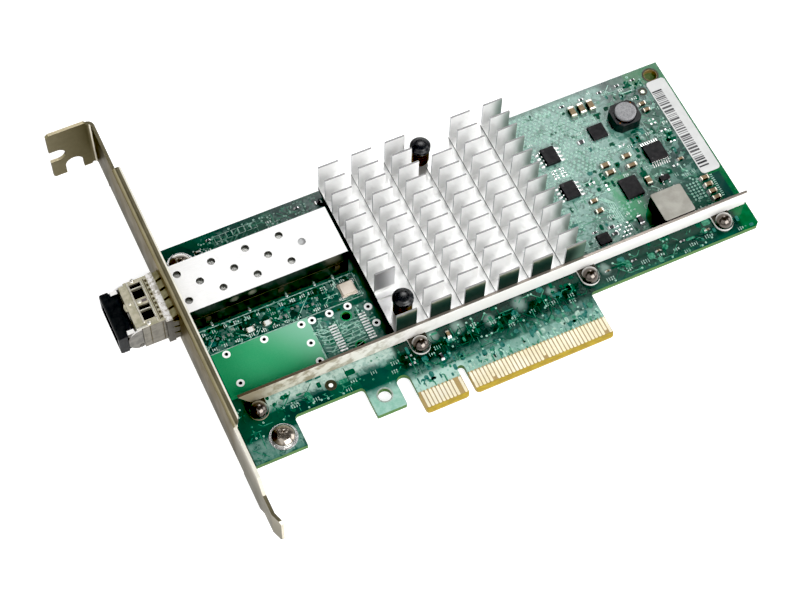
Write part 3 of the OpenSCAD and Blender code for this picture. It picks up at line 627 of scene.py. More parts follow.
    # painted shade: the front face of the fin by the cage, darker towards its left
    lone = m.math("MULTIPLY", m.area(-12.2, -5.6, 31.5, 34.5, 0.1),
                  m.math("MULTIPLY", m.span(ny, -0.6, -0.9), above))
    col = m.mix(m.math("MULTIPLY", lone, 0.9), col, m.mix(
        m.span(m.x, -11, -6), rgb(112, 112, 114), rgb(196, 196, 198)))
    # painted reflection: the outer column stands over the open board and its front faces
    # take the board's green, more so towards it
    outer = m.math("MULTIPLY", m.span(m.math("SUBTRACT", m.x, m.math(
        "MULTIPLY", m.z, 0.16)), 34.4, 38.4), m.math(
            "MULTIPLY", m.span(ny, -0.6, -0.9), above))
    col = m.mix(m.math("MULTIPLY", outer, 0.8), col, rgb(84, 108, 96))
    # painted shade: the base's end faces below the fins are dark
    painted_rim = m.math("MULTIPLY", m.span(m.math("ABSOLUTE", nx), 0.6, 0.9),
                 m.span(m.z, 5.4, 5.0))
    col = m.mix(painted_rim, col, rgb(52, 54, 54))
    floor = m.math("MULTIPLY", m.span(nz, 0.7, 0.9), m.span(m.z, 7.0, 6.0))
    rough = m.mix(floor, m.span(brush, 0.3, 0.7, 0.42, 0.52),
                  (0.36, 0.36, 0.36, 1))
    shine = m.mix(floor, (0.55, 0.55, 0.55, 1), (0.85, 0.85, 0.85, 1))
    m.set(color=col, rough=m.mix(first, rough, (0.42, 0.42, 0.42, 1)),
          spec=m.mix(first, (0.5, 0.5, 0.5, 1), (0.06, 0.06, 0.06, 1)),
          metal=m.mix(first, shine, (0.1, 0.1, 0.1, 1)),
          normal=m.bump(g, 0.003))
    M["sink_aluminium"] = m.m

    M["pad_rubber"] = plastic(
        "pad_rubber", rgb(150, 152, 156), rgb(176, 178, 182),
        (0.6, 0.75)).m
    m = Mat("chip_black")
    g = m.noise(16.0, 2, 0.6)
    n = m.noise(0.8, 3, 0.6)
    col = m.mix(m.span(n, 0.3, 0.7), rgb(41, 41, 42), rgb(52, 51, 52))
    col = m.mix(m.math("MULTIPLY", m.edge(0.1), 0.4), col, rgb(70, 68, 70))
    m.set(color=col, rough=m.span(g, 0.3, 0.7, 0.45, 0.6), spec=0.22,
          normal=m.bump(g, 0.008))
    M["chip_black"] = m.m
    M["spring_brass"] = metal(
        "spring_brass", rgb(92, 78, 52), rgb(58, 48, 32),
        (0.22, 0.36), (1, 1, 3), 0.2, 0.003).m
    m = Mat("bar_steel")
    n = m.noise(0.3, 4, 0.6)
    fine = m.noise(3.0, 2, 0.5, m.stretch(0.2, 1, 2.4))
    # painted light: the front face brightens from left to right and is mottled towards the
    # left
    painted_light_ramp = m.span(m.x, -54, 5)
    face = m.mix(painted_light_ramp, m.mix(m.span(m.x, -51, -42), rgb(148, 140, 118),
                             rgb(202, 196, 180)), rgb(238, 236, 233))
    face = m.mix(m.math("MULTIPLY", m.span(n, 0.42, 0.6),
                        m.span(m.x, 10, -40)), face, rgb(150, 140, 118))
    # painted reflection: the faces that point up, the top edge and the feet, are dark, the
    # feet darkest
    flat = m.span(m.normal_axis()[2], 0.5, 0.85)
    dark = m.mix(painted_light_ramp, rgb(104, 92, 74), rgb(146, 138, 130))
    dark = m.mix(m.span(m.z, 4.0, 3.0), dark, rgb(52, 50, 44))
    col = m.mix(flat, face, dark)
    m.set(color=col, rough=m.mix(flat, m.span(fine, 0.3, 0.7, 0.5, 0.6),
                                 (0.16, 0.16, 0.16, 1)),
          metal=m.mix(flat, (0.15, 0.15, 0.15, 1), (0.6, 0.6, 0.6, 1)),
          normal=m.bump(fine, 0.003))
    M["bar_steel"] = m.m
    m = Mat("ferrite")
    g = m.noise(5.0, 4, 0.7)
    n = m.noise(0.7, 3, 0.6)
    m.set(color=m.mix(m.span(n, 0.3, 0.7), rgb(20, 20, 22), rgb(36, 35, 36)),
          rough=m.span(g, 0.3, 0.7, 0.32, 0.5), normal=m.bump(g, 0.012))
    M["ferrite"] = m.m
    m = Mat("ferrite_grey")
    g = m.noise(3.2, 5, 0.75)
    n = m.noise(0.5, 3, 0.6)
    col = m.mix(m.span(g, 0.32, 0.68), rgb(108, 108, 110),
                rgb(164, 164, 166))
    col = m.mix(m.math("MULTIPLY", m.edge(0.16), 0.7), col,
                rgb(192, 191, 194))
    m.set(color=col, rough=m.span(n, 0.3, 0.7, 0.4, 0.55), spec=0.5,
          normal=m.bump(g, 0.02))
    M["ferrite_grey"] = m.m
    m = Mat("inductor_shell")
    g = m.noise(4.0, 3, 0.6)
    n = m.noise(0.3, 3, 0.6)
    top = m.up(0.75, 0.95)
    plate = m.mix(m.span(n, 0.3, 0.7), rgb(148, 146, 138),
                  rgb(168, 166, 158))
    plate = m.mix(1.0, plate, m.span(g, 0.3, 0.7, 0.94, 1.0), "MULTIPLY")
    m.set(color=m.mix(top, m.mix(m.span(g, 0.3, 0.7), rgb(22, 22, 23),
                                 rgb(34, 33, 33)), plate),
          rough=m.span(g, 0.3, 0.7, 0.42, 0.55), spec=0.35,
          normal=m.bump(g, 0.006))
    M["inductor_shell"] = m.m
    M["tinned_lead"] = metal(
        "tinned_lead", rgb(232, 232, 230), rgb(190, 190, 188),
        (0.16, 0.3), (2, 2, 2), 0.12, 0.004, None, 0.05, 0.3, 0.8).m
    m = Mat("capacitor_ceramic")
    g = m.noise(7.0, 3, 0.6)
    n = m.noise(1.1, 3, 0.6)
    # painted shade: the sides are dark, only the tops show the tan body
    top = m.up(0.7, 0.9)
    body = m.mix(m.span(n, 0.3, 0.7), rgb(112, 96, 72), rgb(142, 124, 96))
    m.set(color=m.mix(top, rgb(44, 34, 26), body),
          rough=m.span(g, 0.3, 0.7, 0.36, 0.5), spec=0.35,
          normal=m.bump(g, 0.006))
    M["capacitor_ceramic"] = m.m
    m = Mat("resistor_ceramic")
    g = m.noise(9.0, 3, 0.6)
    m.set(color=m.mix(m.span(g, 0.3, 0.7), rgb(28, 28, 32), rgb(42, 42, 46)),
          rough=m.span(g, 0.3, 0.7, 0.25, 0.4), normal=m.bump(g, 0.004))
    M["resistor_ceramic"] = m.m
    # painted shade: the can's rounded edges are tinted brown
    M["can_metal"] = metal(
        "can_metal", rgb(244, 234, 222), rgb(230, 214, 198),
        (0.4, 0.5), (1, 1, 1), 0.05, 0.002, rgb(120, 88, 50), 0.26,
        0.35, 0.12, 0.3).m

    # --- paper label
    m = Mat("label_paper")
    g = m.noise(10.0, 3, 0.6)
    n = m.noise(0.25, 3, 0.6)
    col = m.mix(m.span(n, 0.3, 0.7), rgb(200, 201, 200), rgb(210, 211, 210))
    m.set(color=col, rough=m.span(g, 0.3, 0.7, 0.5, 0.62),
          normal=m.bump(g, 0.003))
    M["label_paper"] = m.m
    m = Mat("label_print")
    g = m.noise(12.0, 3, 0.7)
    m.set(color=m.mix(m.span(g, 0.25, 0.6), rgb(112, 112, 112),
                      rgb(72, 72, 74)), rough=0.6,
          normal=m.bump(g, 0.002))
    M["label_print"] = m.m

    # --- white legend ink
    m = Mat("legend_ink")
    g = m.noise(8.0, 3, 0.7)
    m.set(color=m.mix(m.span(g, 0.3, 0.6), rgb(170, 196, 186),
                      rgb(222, 232, 226)), rough=0.45,
          normal=m.bump(g, 0.002))
    M["ink"] = m.m

    # --- gold flash and bright tin on the board
    M["gold"] = metal(
        "gold_flash", rgb(255, 250, 234), rgb(250, 240, 206), (0.3, 0.42),
        (4, 0.3, 1), 0.05, 0.0015, None, 0.05, 0.3, 0.12).m
    M["tin"] = metal(
        "board_tin", rgb(240, 240, 240), rgb(206, 208, 208), (0.2, 0.36),
        (2, 2, 2), 0.12, 0.006, None, 0.05, 0.3, 0.9).m
    m = Mat("hole_wall")
    g = m.noise(3.0, 3, 0.6)
    m.set(color=m.mix(m.span(g, 0.3, 0.7), rgb(58, 52, 28),
                      rgb(96, 84, 48)), rough=0.45,
          normal=m.bump(g, 0.01))
    M["hole_wall"] = m.m
    m = Mat("copper_wire")
    g = m.noise(4.0, 3, 0.6)
    m.set(color=m.mix(m.span(g, 0.3, 0.7), rgb(150, 84, 44),
                      rgb(196, 124, 70)), rough=0.3, metal=0.9,
          normal=m.bump(g, 0.004))
    M["wire"] = m.m

    # --- mask over raised copper, dark copper, bare rings
    def masked(key, name, a, b, rough=(0.18, 0.3), spec=0.45):
        m = Mat(name)
        n = m.noise(1.4, 3, 0.6)
        m.set(color=m.mix(m.span(n, 0.3, 0.7), a, b),
              rough=m.span(n, 0.3, 0.7, *rough), spec=spec,
              normal=m.bump(m.noise(6, 2), 0.004))
        M[key] = m.m
    masked("trace_dark", "mask_dark", rgb(0, 62, 44), rgb(4, 82, 58),
           (0.3, 0.45), 0.2)
    masked("trace_pale", "mask_pale", rgb(112, 152, 136),
           rgb(176, 200, 186), (0.3, 0.45))
    masked("via_pale", "mask_over_via", rgb(116, 170, 150),
           rgb(176, 212, 198), (0.2, 0.35))
    masked("plane_teal", "mask_over_teal", rgb(20, 84, 76), rgb(48, 116, 104),
           (0.25, 0.4), 0.3)
    masked("plane", "mask_over_plane", rgb(0, 118, 66), rgb(20, 146, 88))
    masked("ink_soft", "legend_ink_thin", rgb(96, 138, 124),
           rgb(176, 200, 190), (0.4, 0.5), 0.3)
    masked("dark_ring", "bare_ring_dark", rgb(36, 40, 28),
           rgb(58, 54, 38), (0.3, 0.45))
    masked("grey_ring", "bare_ring_grey", rgb(120, 134, 126),
           rgb(168, 178, 170), (0.3, 0.42))
    masked("print_dark", "label_print_dark", rgb(38, 38, 40),
           rgb(66, 66, 68), (0.5, 0.6), 0.3)
    masked("chip_dot", "chip_moulding_mark", rgb(52, 50, 52),
           rgb(66, 63, 66), (0.35, 0.45), 0.3)
    masked("cap_white", "pale_ceramic", rgb(214, 218, 216),
           rgb(238, 240, 238), (0.35, 0.5), 0.4)
    masked("seam", "folded_seam", rgb(36, 34, 26), rgb(66, 58, 42),
           (0.35, 0.5), 0.4)
    masked("casting_dark", "casting_groove", rgb(64, 58, 42),
           rgb(96, 88, 66), (0.45, 0.6), 0.3)
    masked("ring_white", "plated_ring", rgb(250, 252, 250),
           rgb(255, 255, 255), (0.5, 0.6), 0.3)
    masked("wall", "plated_wall", rgb(96, 78, 44), rgb(150, 128, 84),
           (0.3, 0.45), 0.5)
    # painted shade seen through the tooling hole
    masked("hole_shade_disc", "painted_hole_shade", rgb(66, 84, 48),
           rgb(96, 116, 74), (0.5, 0.6), 0.3)
    masked("hole_dark", "hole_shadow", rgb(6, 8, 8), rgb(14, 14, 14),
           (0.7, 0.8), 0.1)
    masked("leaf", "cage_leaf", rgb(196, 197, 198), rgb(214, 214, 214),
           (0.45, 0.55), 0.4)
    M["bright_land"] = metal(
        "bright_land", rgb(250, 250, 248), rgb(230, 232, 230), (0.35, 0.5),
        (2, 2, 2), 0.08, 0.004, None, 0.05, 0.3, 0.2).m
    M["cap_end"] = metal(
        "cap_end", rgb(246, 242, 230), rgb(214, 206, 188), (0.25, 0.4),
        (2, 2, 2), 0.1, 0.006, rgb(120, 104, 84), 0.1, 0.3, 0.4).m
    M["casting_bright"] = metal(
        "casting_bright", rgb(250, 248, 240), rgb(226, 222, 206),
        (0.25, 0.4), (1, 1, 1), 0.08, 0.006, None, 0.05, 0.3, 0.35).m
    M["casting_grey"] = metal(
        "casting_grey", rgb(150, 142, 142), rgb(120, 112, 112),
        (0.35, 0.5), (1, 1, 1), 0.12, 0.006, None, 0.05, 0.3, 0.4).m


build_materials()

NODE_MAT = {
    "circuit_board": "laminate", "mounting_bracket": "bracket_steel",
    "bracket_screws": "screw_steel", "cage_shell": "cage_steel",
    "cage_floor": "cage_steel", "spring_collar": "collar_steel",
    "host_connector": "black_plastic", "connector_contacts": "contact_gold",
    "transceiver_housing": "casting", "transceiver_cover": "cover_steel",
    "transceiver_board": "small_board", "transmit_optics": "barrel_steel",
    "receive_optics": "barrel_steel", "bail_arms": "bail_steel",
    "bail_grip": "grip_plastic", "bail_pin": "pin_steel",
    "latch_lever": "bail_steel", "heat_sink": "sink_aluminium",
    "thermal_pad": "pad_rubber", "controller_chip": "chip_black",
    "push_pins": "black_plastic", "push_pin_springs": "spring_brass",
    "stiffener_bar": "bar_steel", "stiffener_rivets": "rivet_steel",
    "round_inductor_base": "ferrite", "round_inductor_core": "ferrite_grey",
    "square_inductor": "inductor_shell", "inductor_terminals": "tinned_lead",
    "eight_lead_chips": "chip_black", "gull_wing_chip": "chip_black",
    "leadless_chips": "chip_black", "small_transistors": "chip_black",
    "chip_leads": "tinned_lead", "ceramic_capacitors": "capacitor_ceramic",
    "chip_resistors": "resistor_ceramic", "crystal_can": "can_metal",
    "board_label": "label_paper",
}


def dress(node, bevel=0.0, segments=2, angle=35.0, smooth=35.0):
    """Gives a CAD node its material, and rounds its edges on the way to the
    render; the mesh itself stays as it was imported."""
    o = N[node]
    o.data.materials.clear()
    o.data.materials.append(MATS[NODE_MAT[node]])
    w = o.modifiers.new("weld", "WELD")
    w.merge_threshold = 2e-6
    if bevel:
        d = o.modifiers.new("flat", "DECIMATE")
        d.decimate_type = "DISSOLVE"
        d.angle_limit = math.radians(0.5)
        b = o.modifiers.new("round", "BEVEL")
        b.width = bevel * MM
        b.segments = segments
        b.limit_method = "ANGLE"
        b.angle_limit = math.radians(angle)
        b.use_clamp_overlap = True
        b.harden_normals = False
    return o


BEVELS = {
    "mounting_bracket": 0.1, "bracket_screws": 0.12, "cage_shell": 0.08,
    "transceiver_housing": 0.12, "bail_arms": 0.06, "bail_grip": 0.22,
    "heat_sink": 0.09, "stiffener_bar": 0.1, "round_inductor_base": 0.12,
    "square_inductor": 0.25, "eight_lead_chips": 0.06,
    "gull_wing_chip": 0.05, "leadless_chips": 0.04,
    "small_transistors": 0.05, "crystal_can": 0.1, "spring_collar": 0.03,
    "latch_lever": 0.06, "transceiver_cover": 0.05, "host_connector": 0.08,
    "controller_chip": 0.1,
}
for name in NODE_MAT:
    dress(name, BEVELS.get(name, 0.0))

# ------------------------------------------------------------ added pieces
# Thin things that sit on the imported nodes: plating, mask over copper, ink,
# solder and the small parts' ceramic and metal ends. Places come from the
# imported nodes, or are set out on the board in the frame of the part.
rng = random.Random(41)


def circle(cx, cy, r, n):
    return [(cx + r * math.cos(2 * math.pi * i / n),
             cy + r * math.sin(2 * math.pi * i / n)) for i in range(n)]


class Shape:
    """One piece, gathered from small closed solids, in millimetres."""

    def __init__(self, name):
        self.name = name
        self.bm = bmesh.new()
        self.keys = []
        self.count = 0

    def key(self, mat):
        if mat not in self.keys:
            self.keys.append(mat)
        return self.keys.index(mat)

    def skin(self, rings, mat, smooth=False, ends=True, round_trip=False):
        k = self.key(mat)
        rows = [[self.bm.verts.new((x * MM, y * MM, z * MM))
                 for x, y, z in r] for r in rings]
        pairs = list(zip(rows, rows[1:]))
        if round_trip:
            pairs.append((rows[-1], rows[0]))
        made = []
        for a, b in pairs:
            n = len(a)
            for i in range(n):
                j = (i + 1) % n
                made.append(self.bm.faces.new((a[i], a[j], b[j], b[i])))
        for f in made:
            f.smooth = smooth
        if ends and not round_trip:
            made.append(self.bm.faces.new(rows[0][::-1]))
            made.append(self.bm.faces.new(rows[-1]))
        for f in made:
            f.material_index = k
        self.count += 1

    def prism(self, pts, z0, z1, mat, inset=0.0, smooth=False):
        cx = sum(p[0] for p in pts) / len(pts)
        cy = sum(p[1] for p in pts) / len(pts)
        rings = [[(x, y, z0) for x, y in pts]]
        if inset:
            rings.append([(x, y, z1 - inset) for x, y in pts])
            top = []
            for x, y in pts:
                d = math.hypot(x - cx, y - cy) or 1.0
                k = max(0.0, 1.0 - inset / d)
                top.append((cx + (x - cx) * k, cy + (y - cy) * k, z1))
            rings.append(top)
        else:
            rings.append([(x, y, z1) for x, y in pts])
        self.skin(rings, mat, smooth)

    def block(self, x0, x1, y0, y1, z0, z1, mat, r=0.0):
        if r:
            pts = [(x0 + r, y0), (x1 - r, y0), (x1, y0 + r), (x1, y1 - r),
                   (x1 - r, y1), (x0 + r, y1), (x0, y1 - r), (x0, y0 + r)]
            self.prism(pts, z0, z1, mat, min(r, (z1 - z0) * 0.45))
        else:
            self.prism([(x0, y0), (x1, y0), (x1, y1), (x0, y1)], z0, z1, mat)

    def disc(self, cx, cy, r, z0, z1, mat, n=14, dome=0.0):
        p = circle(0, 0, 1, n)
        rings = [[(cx + r * a, cy + r * b, z0) for a, b in p]]
        if dome:
            for f, h in ((1.0, 0.0), (0.9, 0.45), (0.68, 0.8), (0.35, 0.97),
                         (0.1, 1.0)):
                rings.append([(cx + r * f * a, cy + r * f * b,
                               z1 - dome + dome * h) for a, b in p])
        else:
            rings.append([(cx + r * a, cy + r * b, z1) for a, b in p])
        self.skin(rings, mat, bool(dome))

    def ring(self, cx, cy, r0, r1, z0, z1, mat, n=24, inset=0.0):
        p = circle(0, 0, 1, n)

        def at(r, z):
            return [(cx + r * a, cy + r * b, z) for a, b in p]
        rows = [at(r0, z0), at(r0, z1), at(r1 - inset, z1)]
        if inset:
            rows.append(at(r1, z1 - inset))
        rows.append(at(r1, z0))
        self.skin(rows[::-1], mat, False, False, True)

    def run(self, pts, w, z0, z1, mat):
        """A strip of width w along a path of points."""
        rings = []
        for i, (x, y) in enumerate(pts):
            a = pts[max(i - 1, 0)]
            b = pts[min(i + 1, len(pts) - 1)]
            d1 = Vector((x - a[0], y - a[1]))
            d2 = Vector((b[0] - x, b[1] - y))
            d1 = d1.normalized() if d1.length else d2.normalized()
            d2 = d2.normalized() if d2.length else d1
            t = (d1 + d2).normalized()
            c = max(0.4, t.dot(d1))
            nx, ny = -t.y * w / 2 / c, t.x * w / 2 / c
            rings.append([(x - nx, y - ny, z0), (x + nx, y + ny, z0),
                          (x + nx, y + ny, z1), (x - nx, y - ny, z1)])
        self.skin(rings, mat)

    def tube(self, pts, r, mat, n=8):
        rings = []
        for i, p in enumerate(pts):
            a = Vector(pts[max(i - 1, 0)])
            b = Vector(pts[min(i + 1, len(pts) - 1)])
            t = (b - a).normalized()
            s = t.orthogonal().normalized() if not i else \
                (s - t * s.dot(t)).normalized()
            q = t.cross(s)
            rings.append([tuple(Vector(p) + s * (r * math.cos(u)) +
                                q * (r * math.sin(u)))
                          for u in [2 * math.pi * j / n for j in range(n)]])
        self.skin(rings, mat, True)

    def wedge(self, x0, x1, y0, y1, z0, z1, side, mat):
        """A solder fillet that rises from the edge on side ('+x' ...) to
        the far edge."""
        lo = 0.02
        h = {"+x": (z1, lo, lo, z1), "-x": (lo, z1, z1, lo),
             "+y": (z1, z1, lo, lo), "-y": (lo, lo, z1, z1)}[side]
        c = [(x0, y0), (x1, y0), (x1, y1), (x0, y1)]
        self.skin([[(x, y, z0) for x, y in c],
                   [(x, y, z0 + (k if k == lo else z1 - z0))
                    for (x, y), k in zip(c, h)]], mat)

    def done(self, body="card", instead_of=None, bevel=0.0):
        bmesh.ops.recalc_face_normals(self.bm, faces=self.bm.faces)
        me = bpy.data.meshes.new(self.name)
        self.bm.to_mesh(me)
        self.bm.free()
        for k in self.keys:
            me.materials.append(MATS[k])
        o = bpy.data.objects.new(self.name, me)
        scene.collection.objects.link(o)
        if bevel:
            b = o.modifiers.new("round", "BEVEL")
            b.width = bevel * MM
            b.segments = 2
            b.limit_method = "ANGLE"
            b.angle_limit = math.radians(40)
        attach(o, body)
        if instead_of:
            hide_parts(instead_of)
        return o


def islands(node):
    """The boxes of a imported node's separate solids, in millimetres."""
    o = N[node]
    mw = o.matrix_world
    me = o.data
    seen, where = {}, []
    for v in me.vertices:
        c = mw @ v.co
        k = (round(c.x, 7), round(c.y, 7), round(c.z, 7))
        where.append(seen.setdefault(k, len(seen)))
    up = list(range(len(seen)))

    def root(i):
        while up[i] != i:
            up[i] = up[up[i]]
            i = up[i]
        return i
    for e in me.edges:
        a, b = (root(where[i]) for i in e.vertices)
        up[a] = b
    boxes = {}
    for (x, y, z), i in seen.items():
        r = root(i)
        p = (x / MM, y / MM, z / MM)
        if r in boxes:
            lo, hi = boxes[r]
            boxes[r] = ([min(a, b) for a, b in zip(lo, p)],
                        [max(a, b) for a, b in zip(hi, p)])
        else:
            boxes[r] = (list(p), list(p))
    return sorted(boxes.values(), key=lambda b: (round(b[0][0], 3),
                                                 round(b[0][1], 3)))


CAPS = islands("ceramic_capacitors")
RESISTORS = islands("chip_resistors")
LEADS = islands("chip_leads")
SOICS = islands("eight_lead_chips")
QFNS = islands("leadless_chips")
GULL = islands("gull_wing_chip")[0]
SOT = islands("small_transistors")[0]
RIVETS = islands("stiffener_rivets")
PADS = islands("inductor_terminals")

# what already stands on the board, so that nothing thin is laid over it
BUSY = [(lo[0] - 0.35, lo[1] - 0.35, hi[0] + 0.35, hi[1] + 0.35)
        for lo, hi in CAPS + RESISTORS + LEADS + SOICS + QFNS + [GULL, SOT]
        + PADS + [(LABEL_LO, LABEL_HI), (CAN_LO, CAN_HI),
                  (COIL_LO, COIL_HI), (CORE_LO, CORE_HI),
                  (SINK_LO, SINK_HI), (CAGE_LO, CAGE_HI)]
        + [box("round_inductor_base")]]
BUSY += [(lo[0] - 0.3, lo[1] - 0.6, hi[0] + 0.3, hi[1] + 3.2)
         for lo, hi in RIVETS]
HOLES = [(-50.9, 34.8), (-40.8, 34.8), (-30.8, 34.8), (-27.9, 34.8),
         (-23.2, 34.8), (-18.2, 34.8), (-30.7, 29.1), (-30.7, 23.6),
         (-50.8, 26.1), (-13.6, 32.6), (-13.6, 27.6)]
BUSY += [(x - 1.2, y - 1.2, x + 1.2, y + 1.2) for x, y in HOLES]
BUSY += [(-22.4, 20.8, -17.0, 25.9), (-21.6, 30.5, -17.8, 34.4),
         (-32.8, 14.6, -29.2, 18.2), (-51, 4.6, -43, 12.4),
         (-55.6, 59.0, -47.6, 67), (82.4, 63.4, 87, 68),
         (79.0, 60.4, 81.7, 63.1)]


OUTLINE = [(-56, 4), (-42.5, 4), (-42.5, 12.6), (-24, 12.6), (-24, 4),
           (-16.1, 4), (-16.1, 11.7), (-12.5, 11.7), (-12.5, 0), (-1, 0),
           (-1, 8.2), (1, 8.2), (1, 0), (38.95, 0), (38.95, 12.98),
           (BOARD_HI[0], 12.98), (BOARD_HI[0], BOARD_HI[1]),
           (-56, BOARD_HI[1])]


def on_board(x, y, r):
    """Inside the laminate's outline, at least r from its edge."""
    inside = False
    for (ax, ay), (bx, by) in zip(OUTLINE, OUTLINE[1:] + OUTLINE[:1]):
        if (ay > y) != (by > y) and x < ax + (y - ay) / (by - ay) * (bx - ax):
            inside = not inside
        k = ((x - ax) * (bx - ax) + (y - ay) * (by - ay)) / (
            (bx - ax) ** 2 + (by - ay) ** 2)
        k = min(1.0, max(0.0, k))
        if math.hypot(x - ax - k * (bx - ax), y - ay - k * (by - ay)) < r:
            return False
    return inside


def free(x, y, r=0.2):
    if not on_board(x, y, r + 0.35):
        return False
    for a, b, c, d in BUSY:
        if a - r < x < c + r and b - r < y < d + r:
            return False
    return True


Z0 = T - 0.01


def build_contacts():
    s = Shape("edge_contacts")
    w = 0.36
    xs = [-11.5 + i for i in range(11)] + [1.5 + i for i in range(38)]
    for x in xs:
        top, foot = 5.55, 1.0
        if abs(x - (-2.5)) > 0.1:
            if min(abs(x - c) for c in (6.5, 20.5, 37.5)) < 0.1:
                foot = 2.0
            s.prism([(x - w, foot + 0.22), (x - w * 0.5, foot),
                     (x + w * 0.5, foot), (x + w, foot + 0.22),
                     (x + w, top - 0.3), (x + w * 0.55, top),
                     (x - w * 0.55, top), (x - w, top - 0.3)],
                    Z0, T + 0.04, "gold", 0.02)
        if abs(x - (-10.5)) > 0.1:
            s.prism([(x - w, 1.0), (x + w, 1.0), (x + w, top - 0.3),
                     (x + w * 0.55, top), (x - w * 0.55, top),
                     (x - w, top - 0.3)], -0.04, 0.01, "gold")
    s.done()

    # short runs from each contact into the board, and broken planes there
    s = Shape("contact_runs")
    for x in xs:
        if abs(x - (-2.5)) < 0.1:
            continue
        end = rng.choice([6.2, 6.6, 7.2, 8.0])
        lean = rng.choice([-0.5, 0, 0.5])
        path = [(x, 5.5), (x, end - abs(lean)), (x + lean, end)]
        if lean == 0:
            path = [(x, 5.5), (x, end)]
        s.run(path, rng.choice([0.2, 0.3, 0.4]), Z0, T + 0.03,
              rng.choice(["trace_pale", "via_pale", "trace"]))
        if rng.random() < 0.45:
            s.ring(x + lean, end + 0.2, 0.12, 0.34, Z0, T + 0.04,
                   "via_pale", 10)
    for _ in range(120):
        x = rng.uniform(-12.0, 37.6)
        y = rng.triangular(5.9, 12.0, 6.4)
        w, h = rng.uniform(0.3, 1.3), rng.uniform(0.5, 2.0)
        c = min(w, h) * 0.3
        if not (on_board(x, y, 0.5) and on_board(x + w, y + h, 0.5)):
            continue
        z = T + rng.choice([0.014, 0.018, 0.022])
        s.prism([(x + c, y), (x + w - c, y), (x + w, y + c),
                 (x + w, y + h - c), (x + w - c, y + h), (x + c, y + h),
                 (x, y + h - c), (x, y + c)], Z0, z,
                rng.choice(["plane_teal", "plane_teal", "trace",
                            "trace_pale"]) if y < 9 else
                rng.choice(["plane_teal", "trace", "plane_teal"]))
    s.done()


def build_rings():
    s = Shape("plated_holes")
    for x, y in HOLES:
        s.ring(x, y, 0.46, 1.05, Z0, T + 0.05, "ring_white", 24, 0.02)
        s.disc(x, y, 0.49, T - 0.5, T - 0.12, "hole_dark", 18)
    for y in (23.4, 32.4):
        s.ring(-19.7, y, 1.12, 1.5, Z0, T + 0.04, "plane", 24)
        s.disc(-19.7, y, 1.14, 0.1, 0.5, "hole_dark", 20)
    s.ring(-31, 16.4, 0.58, 1.5, Z0, T + 0.04, "dark_ring", 28, 0.02)
    s.disc(-31, 16.4, 0.6, T - 0.6, T + 0.04, "ring_white", 18, 0.08)
    s.ring(-20.1, 8.56, 1.7, 2.1, Z0, T + 0.04, "grey_ring", 36, 0.02)
    for x, y in ((-47, 8.5), (-51.6, 63)):
        s.ring(x, y, 1.7, 3.6, Z0, T + 0.05, "tin", 36, 0.03)
        for i in range(8):
            a = math.pi / 8 + i * math.pi / 4
            s.disc(x + 3.2 * math.cos(a), y + 3.2 * math.sin(a), 0.22, T,
                   T + 0.16, "tin", 8, 0.1)
    # sighting mark
    s.disc(80.3, 61.8, 0.55, Z0, T + 0.06, "gold", 18, 0.03)
    s.ring(80.3, 61.8, 0.75, 1.25, Z0, T + 0.02, "dark_ring", 24)
    # tooling hole: plated wall, and a disc of painted shade that closes it below
    s.ring(84.7, 65.7, 1.72, 1.84, 0.05, T + 0.02, "wall", 32)
    s.ring(84.7, 65.7, 1.84, 2.3, Z0, T + 0.03, "dark_ring", 32)
    s.disc(84.7, 65.7, 1.8, 0.05, 0.25, "hole_shade_disc", 32)
    s.done()


